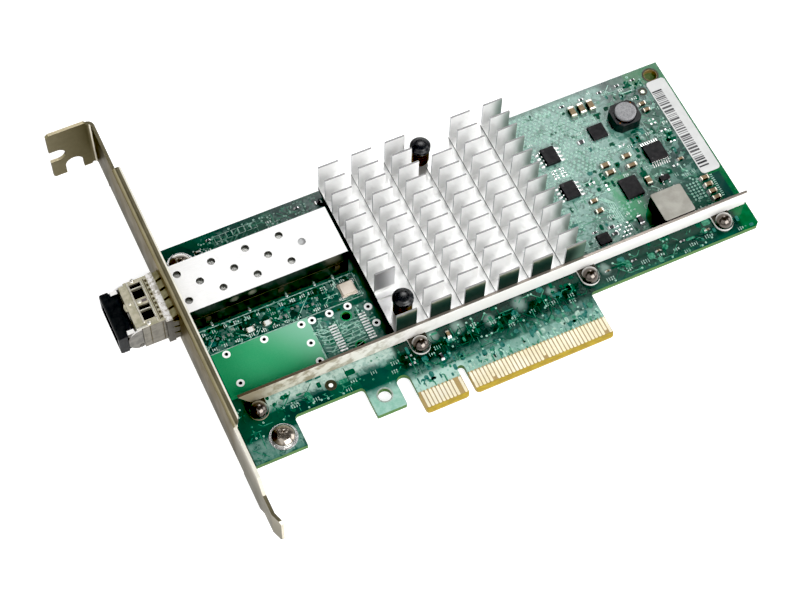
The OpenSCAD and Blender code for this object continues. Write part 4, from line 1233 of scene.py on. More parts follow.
def build_small_parts():
    """Ceramic bodies with metal ends, seated on solder."""
    s = Shape("capacitor_bodies")
    for lo, hi in CAPS:
        lx, ly, h = hi[0] - lo[0], hi[1] - lo[1], hi[2] - lo[2]
        along = 0 if lx >= ly else 1
        L = max(lx, ly)
        white = lo[0] < -30
        # metal ends
        e = 0.2 * L if L > 1.2 else 0.24 * L
        r = min(0.12, h * 0.16)
        body = "cap_white" if white else "capacitor_ceramic"
        z0, z1 = lo[2] + 0.02, hi[2]
        if along == 0:
            s.block(lo[0] + e * 0.6, hi[0] - e * 0.6, lo[1] + 0.05,
                    hi[1] - 0.05, z0, z1 - 0.05, body, r)
            s.block(lo[0], lo[0] + e, lo[1], hi[1], z0, z1, "cap_end", r)
            s.block(hi[0] - e, hi[0], lo[1], hi[1], z0, z1, "cap_end", r)
            s.wedge(lo[0] - 0.35, lo[0] + 0.02, lo[1] + 0.05, hi[1] - 0.05,
                    Z0, T + h * 0.55, "-x", "tin")
            s.wedge(hi[0] - 0.02, hi[0] + 0.35, lo[1] + 0.05, hi[1] - 0.05,
                    Z0, T + h * 0.55, "+x", "tin")
        else:
            s.block(lo[0] + 0.05, hi[0] - 0.05, lo[1] + e * 0.6,
                    hi[1] - e * 0.6, z0, z1 - 0.05, body, r)
            s.block(lo[0], hi[0], lo[1], lo[1] + e, z0, z1, "cap_end", r)
            s.block(lo[0], hi[0], hi[1] - e, hi[1], z0, z1, "cap_end", r)
            s.wedge(lo[0] + 0.05, hi[0] - 0.05, lo[1] - 0.35, lo[1] + 0.02,
                    Z0, T + h * 0.55, "-y", "tin")
            s.wedge(lo[0] + 0.05, hi[0] - 0.05, hi[1] - 0.02, hi[1] + 0.35,
                    Z0, T + h * 0.55, "+y", "tin")
    s.done(instead_of="ceramic_capacitors")

    s = Shape("resistor_bodies")
    for lo, hi in RESISTORS:
        lx, ly, h = hi[0] - lo[0], hi[1] - lo[1], hi[2] - lo[2]
        L = max(lx, ly)
        e = 0.22 * L
        r = min(0.06, h * 0.15)
        if lx >= ly:
            s.block(lo[0] + e * 0.6, hi[0] - e * 0.6, lo[1] + 0.03,
                    hi[1] - 0.03, lo[2], hi[2], "resistor_ceramic", r)
            for a, b in ((lo[0], lo[0] + e), (hi[0] - e, hi[0])):
                s.block(a, b, lo[1], hi[1], lo[2], hi[2] - 0.03, "tin", r)
            s.wedge(lo[0] - 0.25, lo[0] + 0.02, lo[1], hi[1], Z0,
                    T + h * 0.6, "-x", "tin")
            s.wedge(hi[0] - 0.02, hi[0] + 0.25, lo[1], hi[1], Z0,
                    T + h * 0.6, "+x", "tin")
        else:
            s.block(lo[0] + 0.03, hi[0] - 0.03, lo[1] + e * 0.6,
                    hi[1] - e * 0.6, lo[2], hi[2], "resistor_ceramic", r)
            for a, b in ((lo[1], lo[1] + e), (hi[1] - e, hi[1])):
                s.block(lo[0], hi[0], a, b, lo[2], hi[2] - 0.03, "tin", r)
            s.wedge(lo[0], hi[0], lo[1] - 0.25, lo[1] + 0.02, Z0,
                    T + h * 0.6, "-y", "tin")
            s.wedge(lo[0], hi[0], hi[1] - 0.02, hi[1] + 0.25, Z0,
                    T + h * 0.6, "+y", "tin")
    s.done(instead_of="chip_resistors")


def build_solder():
    """Lands and fillets under the leads, bare lands of parts left off."""
    s = Shape("solder_lands")
    chips = SOICS + [GULL, SOT]
    for lo, hi in LEADS:
        cx, cy = (lo[0] + hi[0]) / 2, (lo[1] + hi[1]) / 2
        best = min(chips, key=lambda b: abs((b[0][0] + b[1][0]) / 2 - cx) +
                   abs((b[0][1] + b[1][1]) / 2 - cy))
        inside_x = best[0][0] - 0.1 < cx < best[1][0] + 0.1
        if inside_x:       # leads on the front and back sides
            out = 1 if cy > (best[0][1] + best[1][1]) / 2 else -1
            tip = hi[1] if out > 0 else lo[1]
            a, b = sorted((tip - out * 0.5, tip + out * 0.28))
            s.block(lo[0], hi[0], a, b, Z0, T + 0.05, "bright_land")
        else:
            out = 1 if cx > (best[0][0] + best[1][0]) / 2 else -1
            tip = hi[0] if out > 0 else lo[0]
            a, b = sorted((tip - out * 0.6, tip + out * 0.42))
            s.block(a, b, lo[1] - 0.06, hi[1] + 0.06, Z0, T + 0.05,
                    "bright_land")
            s.disc(tip + out * 0.2, cy, (hi[1] - lo[1]) * 0.76, T,
                   T + 0.24, "bright_land", 12, 0.18)
    # leadless chips: row of small lands that show along two sides
    for lo, hi in QFNS:
        n = 5 if hi[1] - lo[1] > 3.5 else 4
        for i in range(n):
            y = lo[1] + (hi[1] - lo[1]) * (i + 0.5) / n
            x = lo[0] + (hi[0] - lo[0]) * (i + 0.5) / n
            for cx, k in ((lo[0], -1), (hi[0], 1)):
                a, b = sorted((cx, cx + k * 0.3))
                s.block(a, b, y - 0.16, y + 0.16, Z0, T + 0.05, "tin")
            for cy, k in ((lo[1], -1), (hi[1], 1)):
                a, b = sorted((cy, cy + k * 0.34))
                s.block(x - 0.16, x + 0.16, a, b, Z0, T + 0.06, "tin")
    # the inductors' lands
    for lo, hi in PADS:
        s.block(lo[0] - 0.2, hi[0] + 0.2, lo[1] - 0.2, hi[1] + 0.2, Z0,
                T + 0.05, "tin", 0.1)
    # can's lands
    for x in (CAN_LO[0], CAN_HI[0] - 1.1):
        for y in (CAN_LO[1] - 0.12, CAN_HI[1] - 1.0):
            s.block(x - 0.15, x + 1.25, y, y + 1.12, Z0, T + 0.05, "tin")
    # lands of the port that was left off: two rows of ten
    for x0, x1, shift in ((-25.0, -22.9, 0.0), (-16.9, -15.0, 0.25)):
        for i in range(10):
            y = 23.8 + shift + i * 0.8
            s.block(x0, x1, y, y + 0.42, Z0, T + 0.05, "bright_land")
    # lands of small parts left off
    lands = [(-53, 39.4, 0.5, 0.4), (-51.6, 39.4, 0.5, 0.4),
             (-50.0, 39.2, 0.4, 0.5), (-48.6, 39.2, 0.4, 0.5),
             (-47.2, 40.4, 0.5, 0.4), (-35.0, 38.4, 0.5, 0.45),
             (-33.6, 38.4, 0.5, 0.45), (-31.4, 39.6, 0.5, 0.4),
             (-30.0, 39.6, 0.5, 0.4), (-27.6, 38.6, 0.45, 0.45),
             (-26.2, 38.6, 0.45, 0.45), (-24.6, 39.8, 0.45, 0.4),
             (-11.2, 13.2, 0.4, 0.4), (-10.0, 13.2, 0.4, 0.4),
             (-11.2, 15.4, 0.4, 0.4), (-10.0, 15.4, 0.4, 0.4),
             (53.6, 41.4, 0.4, 0.4), (54.7, 41.4, 0.4, 0.4),
             (57.3, 39.2, 0.4, 0.5), (57.3, 37.9, 0.4, 0.5),
             (77.2, 52.6, 0.35, 0.35), (78.3, 52.6, 0.35, 0.35),
             (77.2, 51.4, 0.35, 0.35), (78.3, 51.4, 0.35, 0.35),
             (78.6, 48.4, 0.35, 0.35), (79.7, 48.4, 0.35, 0.35),
             (66.2, 48.6, 0.4, 0.4), (67.4, 48.6, 0.4, 0.4),
             (79.2, 44.4, 0.35, 0.35), (80.3, 44.4, 0.35, 0.35),
             (76.2, 37.4, 0.35, 0.35), (77.4, 37.4, 0.35, 0.35)]
    for x, y, a, b in lands:
        s.block(x, x + a * 1.5, y, y + b * 1.5, Z0, T + 0.05, "tin")
    # two clusters of lands beside the eight-lead chips
    for ox in (46.3, 48.5):
        for i in range(2):
            for j in range(4):
                s.block(ox + i * 0.85, ox + i * 0.85 + 0.5,
                        46.6 + j * 0.75, 47.0 + j * 0.75, Z0, T + 0.05,
                        "tin")
    for i in range(5):
        for j in range(4):
            if (i * 3 + j) % 4:
                s.block(53.2 + i * 0.95, 53.7 + i * 0.95, 24 + j * 1.1,
                        24.4 + j * 1.1, Z0, T + 0.05, "tin")
    # the cage's pins, soldered through the board
    for i, x in enumerate((-50.9, -40.8, -30.8, -23.2, -18.2)):
        s.disc(x, CAGE_LO[1] - 0.15, 0.42, T - 0.02, T + 0.14, "tin", 10,
               0.1)
    s.done()


def build_vias():
    """Plated vias under the mask, in fields over the wide pours."""
    s = Shape("vias")

    def dot(x, y, r, mat, n=8):
        if free(x, y, 0.25) and math.hypot(x + 20.1, y - 8.56) > 2.6:
            s.ring(x, y, r * 0.4, r, Z0, T + 0.05, mat, n)

    # the staggered field beside the heat sink
    j = 0
    y = 45.4
    while y < 67.6:
        x = 42.8 + (0.65 if j % 2 else 0.0)
        while x < 62.5 - max(0, y - 60) * 0.3:
            if rng.random() < 0.86:
                dot(x + rng.uniform(-0.08, 0.08), y, 0.34, "via_pale")
            x += 1.3
        y += 0.95
        j += 1
    for x, y, nx, ny, p in ((76.7, 26.2, 4, 6, 0.95), (57.6, 30.2, 3, 3, 1.1),
                            (60.6, 58.6, 4, 3, 1.1), (48.6, 38.2, 4, 5, 1.25),
                            (62.2, 47.2, 4, 3, 1.2), (43.6, 30.2, 3, 6, 1.3),
                            (74.9, 22.2, 6, 2, 1.0)):
        for i in range(nx):
            for k in range(ny):
                dot(x + i * p, y + k * p, 0.3, "via_pale")
    for _ in range(260):
        x, y = rng.uniform(42, 81.5), rng.uniform(22, 68)
        dot(x, y, rng.choice([0.26, 0.3, 0.36]),
            rng.choice(["via_pale", "trace", "ink_soft"]))
    for _ in range(70):
        x, y = rng.uniform(-55, -13), rng.uniform(36.4, 43.4)
        dot(x, y, rng.choice([0.22, 0.28]),
            rng.choice(["via_pale", "trace", "ink_soft"]))
    for k in range(230):
        x, y = rng.uniform(-55, 87), rng.uniform(9.8, 19)
        r = rng.choice([0.22, 0.28])
        mat = rng.choice(["trace", "trace", "trace", "via_pale"])
        if k % 2:
            dot(x, y, r, mat if y < 12 else "trace")
    for _ in range(120):
        x, y = rng.uniform(-46, -13), rng.uniform(59.4, 68)
        dot(x, y, 0.25, rng.choice(["via_pale", "trace"]))
    for _ in range(90):
        x, y = rng.uniform(-28, -13.2), rng.uniform(22.5, 34.4)
        dot(x, y, 0.24, "via_pale")
    s.done()


def route(s, x, y, steps, w, mat, zone, heading=None):
    """A run of copper under the mask that turns by eighths."""
    a = heading if heading is not None else rng.randrange(8)
    pts = [(x, y)]
    for _ in range(steps):
        length = rng.uniform(1.0, 3.6)
        k = length / 6.0
        ok = []
        for _ in range(6):
            nx = x + k * math.cos(a * math.pi / 4)
            ny = y + k * math.sin(a * math.pi / 4)
            if not (zone[0] < nx < zone[2] and zone[1] < ny < zone[3]
                    and free(nx, ny, 0.1)):
                break
            x, y = nx, ny
            ok.append((x, y))
        if ok:
            pts.append(ok[-1])
        if len(ok) < 6:
            break
        a = (a + rng.choice([-1, 0, 1])) % 8
    if len(pts) > 1 and math.dist(pts[0], pts[-1]) > 0.7:
        s.run(pts, w, Z0, T + 0.032, mat)
        return pts[-1]
    return None


def build_traces():
    s = Shape("copper_runs")
    zones = [((42, 22, 81.5, 68), 170, ("trace", "trace", "via_pale")),
             ((-55, 36.6, -13, 43.2), 60, ("trace", "trace_dark", "via_pale")),
             ((-55, 10.4, -25.5, 19.4), 50, ("trace", "trace", "trace_dark")),
             ((-15, 9.6, 86, 19.0), 150, ("trace", "trace_dark", "trace_dark")),
             ((-46, 59.2, -13, 68), 60, ("trace", "trace_dark")),
             ((-29, 22.4, -13.2, 34.6), 60, ("via_pale", "trace")),
             ((-56, 4.4, -49, 12), 10, ("trace", "trace")),
             ((72, 44, 82, 66), 40, ("trace", "trace_dark")),
             ((41, 20.9, 57, 34), 40, ("trace", "via_pale"))]
    for zone, count, mats in zones:
        for _ in range(count):
            x = rng.uniform(zone[0], zone[2])
            y = rng.uniform(zone[1], zone[3])
            if not free(x, y, 0.2):
                continue
            end = route(s, x, y, rng.choice([1, 2, 3]),
                        rng.choice([0.16, 0.2, 0.26]), rng.choice(mats), zone)
            if end and rng.random() < 0.5:
                s.ring(end[0], end[1], 0.1, 0.27, Z0, T + 0.045,
                       "via_pale", 8)
    # fans between the two rows of lands
    for i in range(9):
        y = 24.2 + i * 0.8
        s.run([(-22.6, y), (-21.6, y), (-20.4, y + 0.5 * (i % 3 - 1)),
               (-17.4, y + 0.25)], 0.18, Z0, T + 0.035, "via_pale")
    for i in range(7):
        y = 24.6 + i * 1.1
        s.run([(-25.2, y), (-26.4, y), (-28.0, y + 0.6)], 0.18, Z0,
              T + 0.035, "via_pale")
    # three long parallel runs left of the leadless chip
    for i in range(4):
        x = 55.4 + i * 0.5
        s.run([(x, 27.6 + i * 0.3), (x, 34.8 - i * 0.25),
               (x - 1.6, 36.8 - i * 0.2)], 0.22, Z0, T + 0.035, "via_pale")
    # ladder beside the right edge
    for i in range(12):
        y = 31.4 - i * 0.62
        s.block(83.6, 84.3, y - 0.12, y + 0.12, Z0, T + 0.035, "via_pale")
        s.block(79.6, 80.2, y - 0.12, y + 0.12, Z0, T + 0.035, "trace")
    s.done()


def build_planes():
    """Broken pieces of plane under the mask, cut by eighths."""
    s = Shape("plane_pieces")
    for zone, count in (((64, 40, 82, 66), 120), ((56, 33, 82, 46), 60),
                        ((43, 21.5, 60, 44), 46), ((43, 45, 60, 67.6), 10),
                        ((-54, 37, -14, 43), 40), ((-48, 13, -26, 19.6), 34),
                        ((-28, 22.6, -13.4, 34.6), 24),
                        ((-13, 12.4, 86, 19.4), 70)):
        for _ in range(count):
            x = rng.uniform(zone[0], zone[2])
            y = rng.uniform(zone[1], zone[3])
            w, h = rng.uniform(0.5, 2.6), rng.uniform(0.4, 1.8)
            if rng.random() < 0.5:
                w, h = h, w
            if not (free(x, y, 0) and free(x + w, y + h, 0)
                    and free(x + w, y, 0) and free(x, y + h, 0)):
                continue
            c = min(w, h) * rng.choice([0.2, 0.35])
            s.prism([(x + c, y), (x + w - c, y), (x + w, y + c),
                     (x + w, y + h - c), (x + w - c, y + h), (x + c, y + h),
                     (x, y + h - c), (x, y + c)], Z0,
                    T + rng.choice([0.012, 0.016, 0.02]),
                    rng.choice(["trace_dark", "trace_dark", "trace_dark",
                                "trace", "plane_teal"]))
    s.done()


def build_legend():
    """White ink: outlines, polarity bars and tick marks."""
    s = Shape("legend_marks")
    z = T + 0.03
    w = 0.16

    def outline(x0, y0, x1, y1, corner=None, mat="ink", w=w):
        if corner is None:
            s.run([(x0, y0), (x1, y0)], w, Z0, z, mat)
            s.run([(x1, y0), (x1, y1)], w, Z0, z, mat)
            s.run([(x1, y1), (x0, y1)], w, Z0, z, mat)
            s.run([(x0, y1), (x0, y0)], w, Z0, z, mat)
            return
        c = corner
        for x, y, dx, dy in ((x0, y0, c, c), (x1, y0, -c, c),
                             (x1, y1, -c, -c), (x0, y1, c, -c)):
            s.run([(x + dx, y), (x, y), (x, y + dy)], w, Z0, z, mat)

    # the outline of the unused port and the cage
    s.run([(-54.6, 36.1), (-13.4, 36.1)], 0.2, Z0, z, "ink_soft")
    s.run([(-28.75, 22.8), (-28.75, 36.1)], 0.16, Z0, z, "ink_soft")
    s.run([(-55.4, 43.2), (-13.6, 43.2)], 0.22, Z0, z, "ink_soft")
    s.run([(-13.3, 36.6), (-13.3, 43.2)], 0.16, Z0, z, "ink_soft")
    # the row of boxes behind the cage
    for i in range(7):
        x = -41 + i * 1.66
        outline(x, 65.4, x + 1.5, 67.2, mat="ink_soft", w=0.14)
    # corners round the packages
    for lo, hi in SOICS:
        outline(lo[0] - 0.2, lo[1] - 0.35, hi[0] + 0.2, hi[1] + 0.35, 0.5,
                "ink_soft")
        s.disc(lo[0] - 1.6, hi[1] + 0.2, 0.26, Z0, z, "ink", 10)
    for lo, hi in QFNS + [GULL]:
        outline(lo[0] - 0.5, lo[1] - 0.5, hi[0] + 0.5, hi[1] + 0.5, 0.6,
                "ink_soft")
    lo, hi = box("round_inductor_base")
    outline(lo[0] - 0.4, lo[1] - 0.4, hi[0] + 0.4, hi[1] + 0.4, 1.3,
            "ink_soft")
    outline(COIL_LO[0] - 0.5, COIL_LO[1] + 0.5, COIL_HI[0] + 0.5,
            COIL_HI[1] + 0.5, 1.2, "ink_soft")
    outline(CAN_LO[0] - 0.45, CAN_LO[1] - 0.45, CAN_HI[0] + 0.45,
            CAN_HI[1] + 0.45, 0.9, "ink")
    for lo, hi in CAPS:
        if lo[0] < -30:
            outline(lo[0] - 0.55, lo[1] - 0.4, hi[0] + 0.55, hi[1] + 0.4,
                    0.4, "ink")

    # tick marks where a real board carries its references: bars and
    # squares in groups of two to four
    def ticks(x, y, n, tall=0.95, pitch=0.52, mat="ink"):
        for i in range(n):
            cx = x + i * pitch
            if not free(cx, y + tall / 2, 0.0):
                continue
            k = rng.randrange(3)
            if k == 0:
                s.run([(cx, y), (cx, y + tall)], 0.15, Z0, z, mat)
            elif k == 1:
                s.block(cx - 0.15, cx + 0.15, y, y + tall * 0.42, Z0, z, mat)
                s.block(cx - 0.15, cx + 0.15, y + tall * 0.6, y + tall, Z0,
                        z, mat)
            else:
                s.block(cx - 0.16, cx + 0.16, y + tall * 0.2,
                        y + tall * 0.8, Z0, z, mat)

    x = -54.2
    while x < -15:
        ticks(x, 41.6 + rng.uniform(-0.15, 0.15), rng.choice([2, 3]))
        x += rng.uniform(2.3, 3.4)
    x = -53.5
    while x < -15:
        ticks(x, 36.75 + rng.uniform(-0.1, 0.1), rng.choice([2, 3, 4]), 0.85)
        x += rng.uniform(2.8, 4.6)
    for x, y in ((-54.6, 37.9), (-53.6, 40.4), (-50.2, 38.6), (-46.4, 40.0),
                 (-36.4, 40.2), (-33.4, 37.9), (-28.6, 40.2), (-25.2, 37.8),
                 (-22.4, 40.4), (-21.3, 38.4)):
        ticks(x, y, 3, 0.8, 0.5, "ink_soft")
    x = -42
    while x < 84:
        ticks(x, 14.2 + rng.uniform(-0.5, 1.2), rng.choice([3, 3, 4]), 1.05,
              0.62, "ink_soft")
        x += rng.uniform(4.2, 6.4)
    for x, y in ((-49, 14.2), (-41.6, 15.2), (-28.0, 13.0), (-15.8, 12.8),
                 (-8.4, 16.8), (-5.4, 13.4), (7.4, 16.6), (16.2, 12.6),
                 (33.2, 12.4), (51.2, 12.8), (66.6, 13.2), (73.2, 12.6),
                 (82.4, 13.4)):
        ticks(x, y, 3, 1.0, 0.6, "ink_soft")
    for x, y, n in ((74.6, 48.9, 3), (76.6, 60.4, 3), (77.0, 47.0, 4),
                    (80.4, 50.2, 3), (80.6, 47.6, 2), (73.6, 31.6, 3),
                    (77.6, 33.4, 4), (80.2, 33.8, 2), (68.8, 39.6, 3),
                    (68.4, 47.4, 3), (63.2, 39.8, 3), (62.6, 49.4, 2),
                    (57.8, 29.2, 3), (57.6, 23.2, 3), (58.0, 56.2, 3),
                    (70.6, 65.0, 3), (74.6, 64.2, 3), (78.6, 57.2, 2),
                    (53.8, 30.0, 4), (54.6, 22.4, 4), (47.2, 21.8, 3),
                    (69.2, 32.0, 3), (51.4, 39.6, 2), (44.4, 58.4, 3),
                    (56.4, 66.6, 3), (66.4, 66.8, 2), (81.0, 55.0, 2),
                    (75.6, 34.6, 2), (62.8, 31.2, 2)):
        ticks(x, y, n, 0.95, 0.55, rng.choice(["ink", "ink_soft"]))
    for x, y, n in ((-27.2, 65.0, 3), (-27.2, 63.2, 3), (-44.2, 63.6, 3),
                    (-22.6, 61.6, 3), (-18.6, 60.6, 3), (-33.6, 61.4, 3)):
        ticks(x, y, n, 1.1, 0.6, "ink")
    for _ in range(70):
        x, y = rng.uniform(42, 81), rng.uniform(22, 67)
        if free(x, y, 0.3):
            a, b = rng.uniform(0.25, 0.6), rng.uniform(0.2, 0.35)
            s.block(x, x + a, y, y + b, Z0, z, "ink_soft")
    for _ in range(60):
        x, y = rng.uniform(-26, -14), rng.uniform(60, 68)
        if free(x, y, 0.3):
            s.block(x, x + 0.4, y, y + 0.25, Z0, z, "ink_soft")
    s.done()


def build_label_print():
    s = Shape("label_bars")
    z0, z1 = LABEL_HI[2] - 0.01, LABEL_HI[2] + 0.012
    y = LABEL_LO[1] + 2.0
    top = LABEL_HI[1] - 3.0
    while y < top:
        w = rng.choice([0.18, 0.3, 0.45, 0.62])
        ends = y < LABEL_LO[1] + 4.6 or y > top - 0.9
        s.block(LABEL_LO[0] + 0.3, LABEL_LO[0] + 3.1, y, y + w, z0, z1,
                "print_dark" if ends else "label_print")
        y += w + rng.choice([0.2, 0.28, 0.4, 0.55])
    s.done()


def build_nose_trim():
    """Rims cast round the latch windows, bosses and the near edge."""
    s = Shape("nose_rims")
    z0, z1 = HOUSE_HI[2] - 0.05, HOUSE_HI[2] + 0.22
    y0, y1 = HOUSE_LO[1], HOUSE_HI[1]
    m = "casting_bright"
    s.block(-67.35, -66.95, 45.7, 58.0, z0, z1, m, 0.09)
    s.block(-64.02, -63.68, 45.0, 57.0, z0, z1, m, 0.09)
    for y in (49.3, 55.6):
        s.block(-66.9, -64.2, y - 0.17, y + 0.14, z0 - 0.7, z1, m, 0.07)
    s.block(-69.45, -66.4, y0 + 0.02, y0 + 0.5, z0, z1 + 0.05, m, 0.12)
    for x, y in ((-66.1, 45.25), (-66.1, 51.65), (-65.8, 57.75)):
        s.disc(x, y, 0.62, z0, z1 + 0.32, m, 20, 0.3)
    s.disc(-68.45, 51.95, 0.36, z0, z1 + 0.12, m, 16, 0.2)
    s.block(-65.9, -64.2, 51.35, 52.1, z0, z1 - 0.08, "casting_grey", 0.08)
    # tongue over the grip, at the middle of the front edge
    s.prism([(-69.55, 50.3), (-70.05, 50.6), (-70.2, 51.1), (-70.2, 51.9),
             (-70.05, 52.4), (-69.55, 52.7)], 10.9, z1 - 0.2, "casting", 0.1)
    # shallow step lines over the plate between the windows and the collar
    s.run([(-63.1, 45.2), (-63.1, 57.4)], 0.22, z0, z0 + 0.13,
          "casting_dark")
    for i in range(9):
        y = 45.4 + i * 1.36
        s.block(-62.9, -62.3, y, y + 0.72, z0, z0 + 0.14, "casting_dark")
    # parting line and shoulder on the near side
    for y, k in ((y0, -1), (y1, 1)):
        a, b = sorted((y, y + k * 0.09))
        s.block(-66.3, -66.05, a, b, 3.2, 11.4, "casting_dark")
        s.block(-63.0, -62.75, a, b, 3.0, 11.2, "casting_dark")
    s.done(bevel=0.03)


def build_pivot_ends():
    s = Shape("pivot_ends")
    lo, hi = box("bail_pin")
    cx, cz = (lo[0] + hi[0]) / 2, (lo[2] + hi[2]) / 2
    for y, k in ((lo[1], -1), (hi[1], 1)):
        rows = []
        for r, d in ((0.62, -0.02), (0.62, 0.1), (0.5, 0.17), (0.3, 0.17),
                     (0.26, 0.1), (0.02, 0.1)):
            rows.append([(cx + r * math.cos(t), y + k * d,
                          cz + r * math.sin(t))
                         for t in [2 * math.pi * i / 16 for i in range(16)]])
        s.skin(rows, "pin_steel", True)
    s.done()


def build_coil():
    """The winding between the drum's flanges, and its two ends."""
    s = Shape("drum_winding")
    cx = (CORE_LO[0] + CORE_HI[0]) / 2
    cy = (CORE_LO[1] + CORE_HI[1]) / 2
    pts = []
    for i in range(14 * 5 + 1):
        a = 2 * math.pi * i / 14
        pts.append((cx + 1.95 * math.cos(a), cy + 1.95 * math.sin(a),
                    T + 1.5 + 1.7 * i / (14 * 5)))
    s.tube(pts, 0.19, "wire", 8)
    base = box("round_inductor_base")[1][2]
    for dx, dy in ((-2.75, -2.35), (2.75, 2.35)):
        s.ring(cx + dx, cy + dy, 0.3, 0.62, base - 0.02, base + 0.14,
               "ferrite", 18, 0.05)
        s.disc(cx + dx, cy + dy, 0.2, base, base + 0.16, "wire", 10, 0.1)
    s.done()


def build_cage_trim():
    """Seam, spring tabs and feet along the cage's near and far sides."""
    s = Shape("cage_seams")
    y0, y1 = CAGE_LO[1], CAGE_HI[1]
    for y, k in ((y0, -1), (y1, 1)):
        a, b = sorted((y + 0.0 - k * 0.01, y + k * 0.07))
        s.block(-57.0, -15.0, a, b, T + 5.2, T + 5.5, "seam")
        a, b = sorted((y - k * 0.01, y + k * 0.1))
        for i in range(15):
            x = -55.0 + i * 2.72
            s.block(x, x + 1.0, a, b, T + 0.02, T + 0.62, "seam")
        for x in (-52.4, -33.0, -17.6):
            s.block(x, x + 1.6, a, b, T + 2.6, T + 4.6, "seam", 0.05)
    s.done()

    # the leaf folded in at the far end, that ejects the transceiver
    s = Shape("cage_inner_leaf")
    z = CAGE_HI[2] - 0.95
    s.block(-24.2, -15.2, y0 + 1.6, y1 - 1.6, z, z + 0.2, "leaf", 0.05)
    s.block(-15.4, -15.1, y0 + 1.6, y1 - 1.6, z, CAGE_HI[2] - 0.26, "leaf")
    s.done()


def build_chip_marks():
    s = Shape("pin_one_marks")
    for lo, hi in SOICS:
        s.disc(lo[0] + 0.75, hi[1] - 0.75, 0.32, hi[2] - 0.02,
               hi[2] + 0.015, "chip_dot", 14)
    for lo, hi in QFNS:
        s.disc(lo[0] + 0.6, hi[1] - 0.6, 0.24, hi[2] - 0.02, hi[2] + 0.015,
               "chip_dot", 12)
    s.disc(GULL[0][0] + 0.8, GULL[0][1] + 0.8, 0.26, GULL[1][2] - 0.02,
           GULL[1][2] + 0.015, "chip_dot", 12)
    s.done()


def build_underside():
    """Solder side: pin ends, traces and lands."""
    s = Shape("solder_side")
    b = -0.04

    def blob(x, y, r=0.45, h=0.22):
        p = circle(0, 0, 1, 12)
        s.skin([[(x + r * f * u, y + r * f * v, -h * g) for u, v in p]
                for f, g in ((1.0, -0.05), (1.0, 0.15), (0.8, 0.6),
                             (0.45, 0.9), (0.1, 1.0))], "tin", True)
    for x, y in HOLES:
        s.ring(x, y, 0.5, 1.0, b, 0.01, "tin", 20)
    for x in (-50.9, -40.8, -30.8, -23.2, -18.2):
        blob(x, CAGE_LO[1] + 0.2)
        blob(x, CAGE_HI[1] - 0.2)
    for x in (15.6, -7.2):
        s.ring(x, 64.5 if x > 0 else 26.2, 1.9, 2.5, b, 0.01, "tin", 24)
    for _ in range(420):
        x, y = rng.uniform(-54, 86), rng.uniform(7, 67)
        if on_board(x, y, 0.8) and math.hypot(x + 20.1, y - 8.56) > 2.4:
            s.ring(x, y, 0.11, 0.28, b, 0.01,
                   rng.choice(["trace", "via_pale"]), 8)
    for _ in range(230):
        x, y = rng.uniform(-52, 84), rng.uniform(14, 66)
        a = rng.randrange(8)
        p = [(x, y)]
        for _ in range(2):
            d = rng.uniform(1.5, 5)
            x += d * math.cos(a * math.pi / 4)
            y += d * math.sin(a * math.pi / 4)
            x, y = min(max(x, -53), 86), min(max(y, 13.8), 67)
            if math.dist(p[-1], (x, y)) > 0.4:
                p.append((x, y))
            a = (a + rng.choice([-1, 1])) % 8
        if len(p) > 1:
            s.run(p, 0.22, b, 0.01, "trace")
    for i in range(14):
        for j in range(8):
            x, y = 3 + i * 2.1, 30 + j * 2.6
            s.block(x, x + 0.55, y, y + 0.5, b, 0.01, "tin")
    s.done()


build_contacts()
build_rings()
build_small_parts()
build_solder()
build_vias()
build_traces()
build_planes()
build_legend()
build_label_print()
build_nose_trim()
build_pivot_ends()
build_coil()
build_cage_trim()
build_chip_marks()
build_underside()

# ------------------------------------------------------------------ camera
cam_data = bpy.data.cameras.new("camera")
cam = bpy.data.objects.new("camera", cam_data)
scene.collection.objects.link(cam)
cam_data.sensor_fit = "HORIZONTAL"
cam_data.sensor_width = 36.0
cam_data.lens = 89.287
cam_data.shift_x = -0.01177
cam_data.shift_y = 0.00609
cam_data.clip_start = 0.01
cam_data.clip_end = 50.0
right = Vector((0.904693, -0.425447, 0.022916))
up = Vector((0.362327, 0.796540, 0.483987))
back = Vector((-0.224164, -0.429557, 0.874775))
rot = Matrix((right, up, back)).transposed()
cam.matrix_world = Matrix.Translation(
    Vector((-0.115153, -0.184282, 0.435410))) @ rot.to_4x4()
scene.camera = cam

# ------------------------------------------------------------------- stage
floor_mat = Mat("floor")
fn = floor_mat.noise(0.02, 2, 0.5)
floor_mat.set(color=floor_mat.mix(floor_mat.span(fn, 0.3, 0.7),
                                  rgb(196, 196, 196), rgb(200, 200, 200)),
              rough=0.9)
floor_mat.b.inputs["Emission Color"].default_value = (1, 1, 1, 1)
floor_mat.b.inputs["Emission Strength"].default_value = 0.78
bm = bmesh.new()
bmesh.ops.create_grid(bm, x_segments=4, y_segments=4, size=3.0)
fm = bpy.data.meshes.new("floor")
bm.to_mesh(fm)
bm.free()
floor = bpy.data.objects.new("floor", fm)
scene.collection.objects.link(floor)
floor.location = (0.0, 0.0, CAD_BOX[0].z - 0.0002)
fm.materials.append(floor_mat.m)


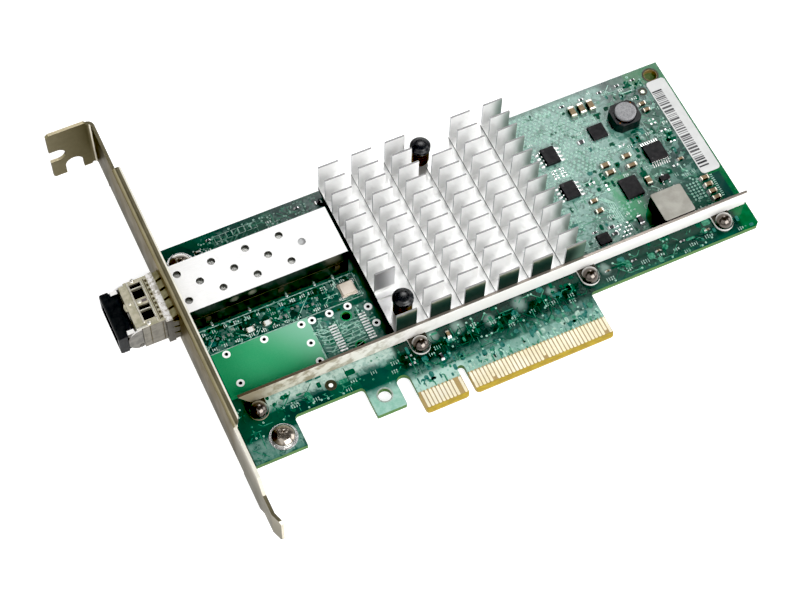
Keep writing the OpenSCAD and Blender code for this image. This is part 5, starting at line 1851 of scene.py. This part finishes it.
def area_light(name, at, to, size, power, color=(1, 1, 1), shape="RECTANGLE",
               spread=180):
    d = bpy.data.lights.new(name, "AREA")
    d.shape = shape
    d.size, d.size_y = size
    d.energy = power
    d.color = color
    d.spread = math.radians(spread)
    o = bpy.data.objects.new(name, d)
    o.location = at
    o.rotation_mode = "QUATERNION"
    o.rotation_quaternion = (Vector(to) - Vector(at)).to_track_quat("-Z", "Y")
    scene.collection.objects.link(o)
    return o


AIM = (0.01, 0.03, 0.0)


def soft_light(name, at, size, radiance, color=(1, 1, 1)):
    """A soft box of the given radiance; power = radiance * pi * area."""
    return area_light(name, at, AIM, size,
                      radiance * math.pi * size[0] * size[1], color)


key = soft_light("key", (0.41, 0.72, 1.0), (0.34, 0.30), 6.5)
front = soft_light("front", (0.30, -0.85, 0.9), (1.0, 0.8), 6.5)
side = soft_light("side", (1.3, -0.3, 0.7), (0.8, 0.6), 3.0)
fill = soft_light("fill", (-0.75, -0.45, 1.0), (1.1, 1.1), 1.2)

world = bpy.data.worlds.new("studio")
scene.world = world
world.use_nodes = True
wt = world.node_tree
wt.nodes.clear()
wo = wt.nodes.new("ShaderNodeOutputWorld")
wb = wt.nodes.new("ShaderNodeBackground")
wt.links.new(wb.outputs[0], wo.inputs[0])
wc = wt.nodes.new("ShaderNodeTexCoord")
ws = wt.nodes.new("ShaderNodeSeparateXYZ")
wt.links.new(wc.outputs["Generated"], ws.inputs[0])
# a bright sweep round the horizon, a dim room above it
wm = wt.nodes.new("ShaderNodeMapRange")
wm.interpolation_type = "SMOOTHSTEP"
wm.inputs["From Min"].default_value = 0.1
wm.inputs["From Max"].default_value = 0.45
wm.inputs["To Min"].default_value = 1.2
wm.inputs["To Max"].default_value = 0.22
wt.links.new(ws.outputs[2], wm.inputs["Value"])
wt.links.new(wm.outputs["Result"], wb.inputs["Color"])
wb.inputs["Strength"].default_value = 1.0

scene.view_settings.view_transform = "Standard"
scene.view_settings.look = "None"
scene.view_settings.exposure = 0.0
scene.view_settings.gamma = 1.0
scene.view_settings.use_curve_mapping = True
levels = scene.view_settings.curve_mapping
levels.black_level = (0.022, 0.022, 0.022)
levels.white_level = (0.96, 0.96, 0.96)
levels.update()
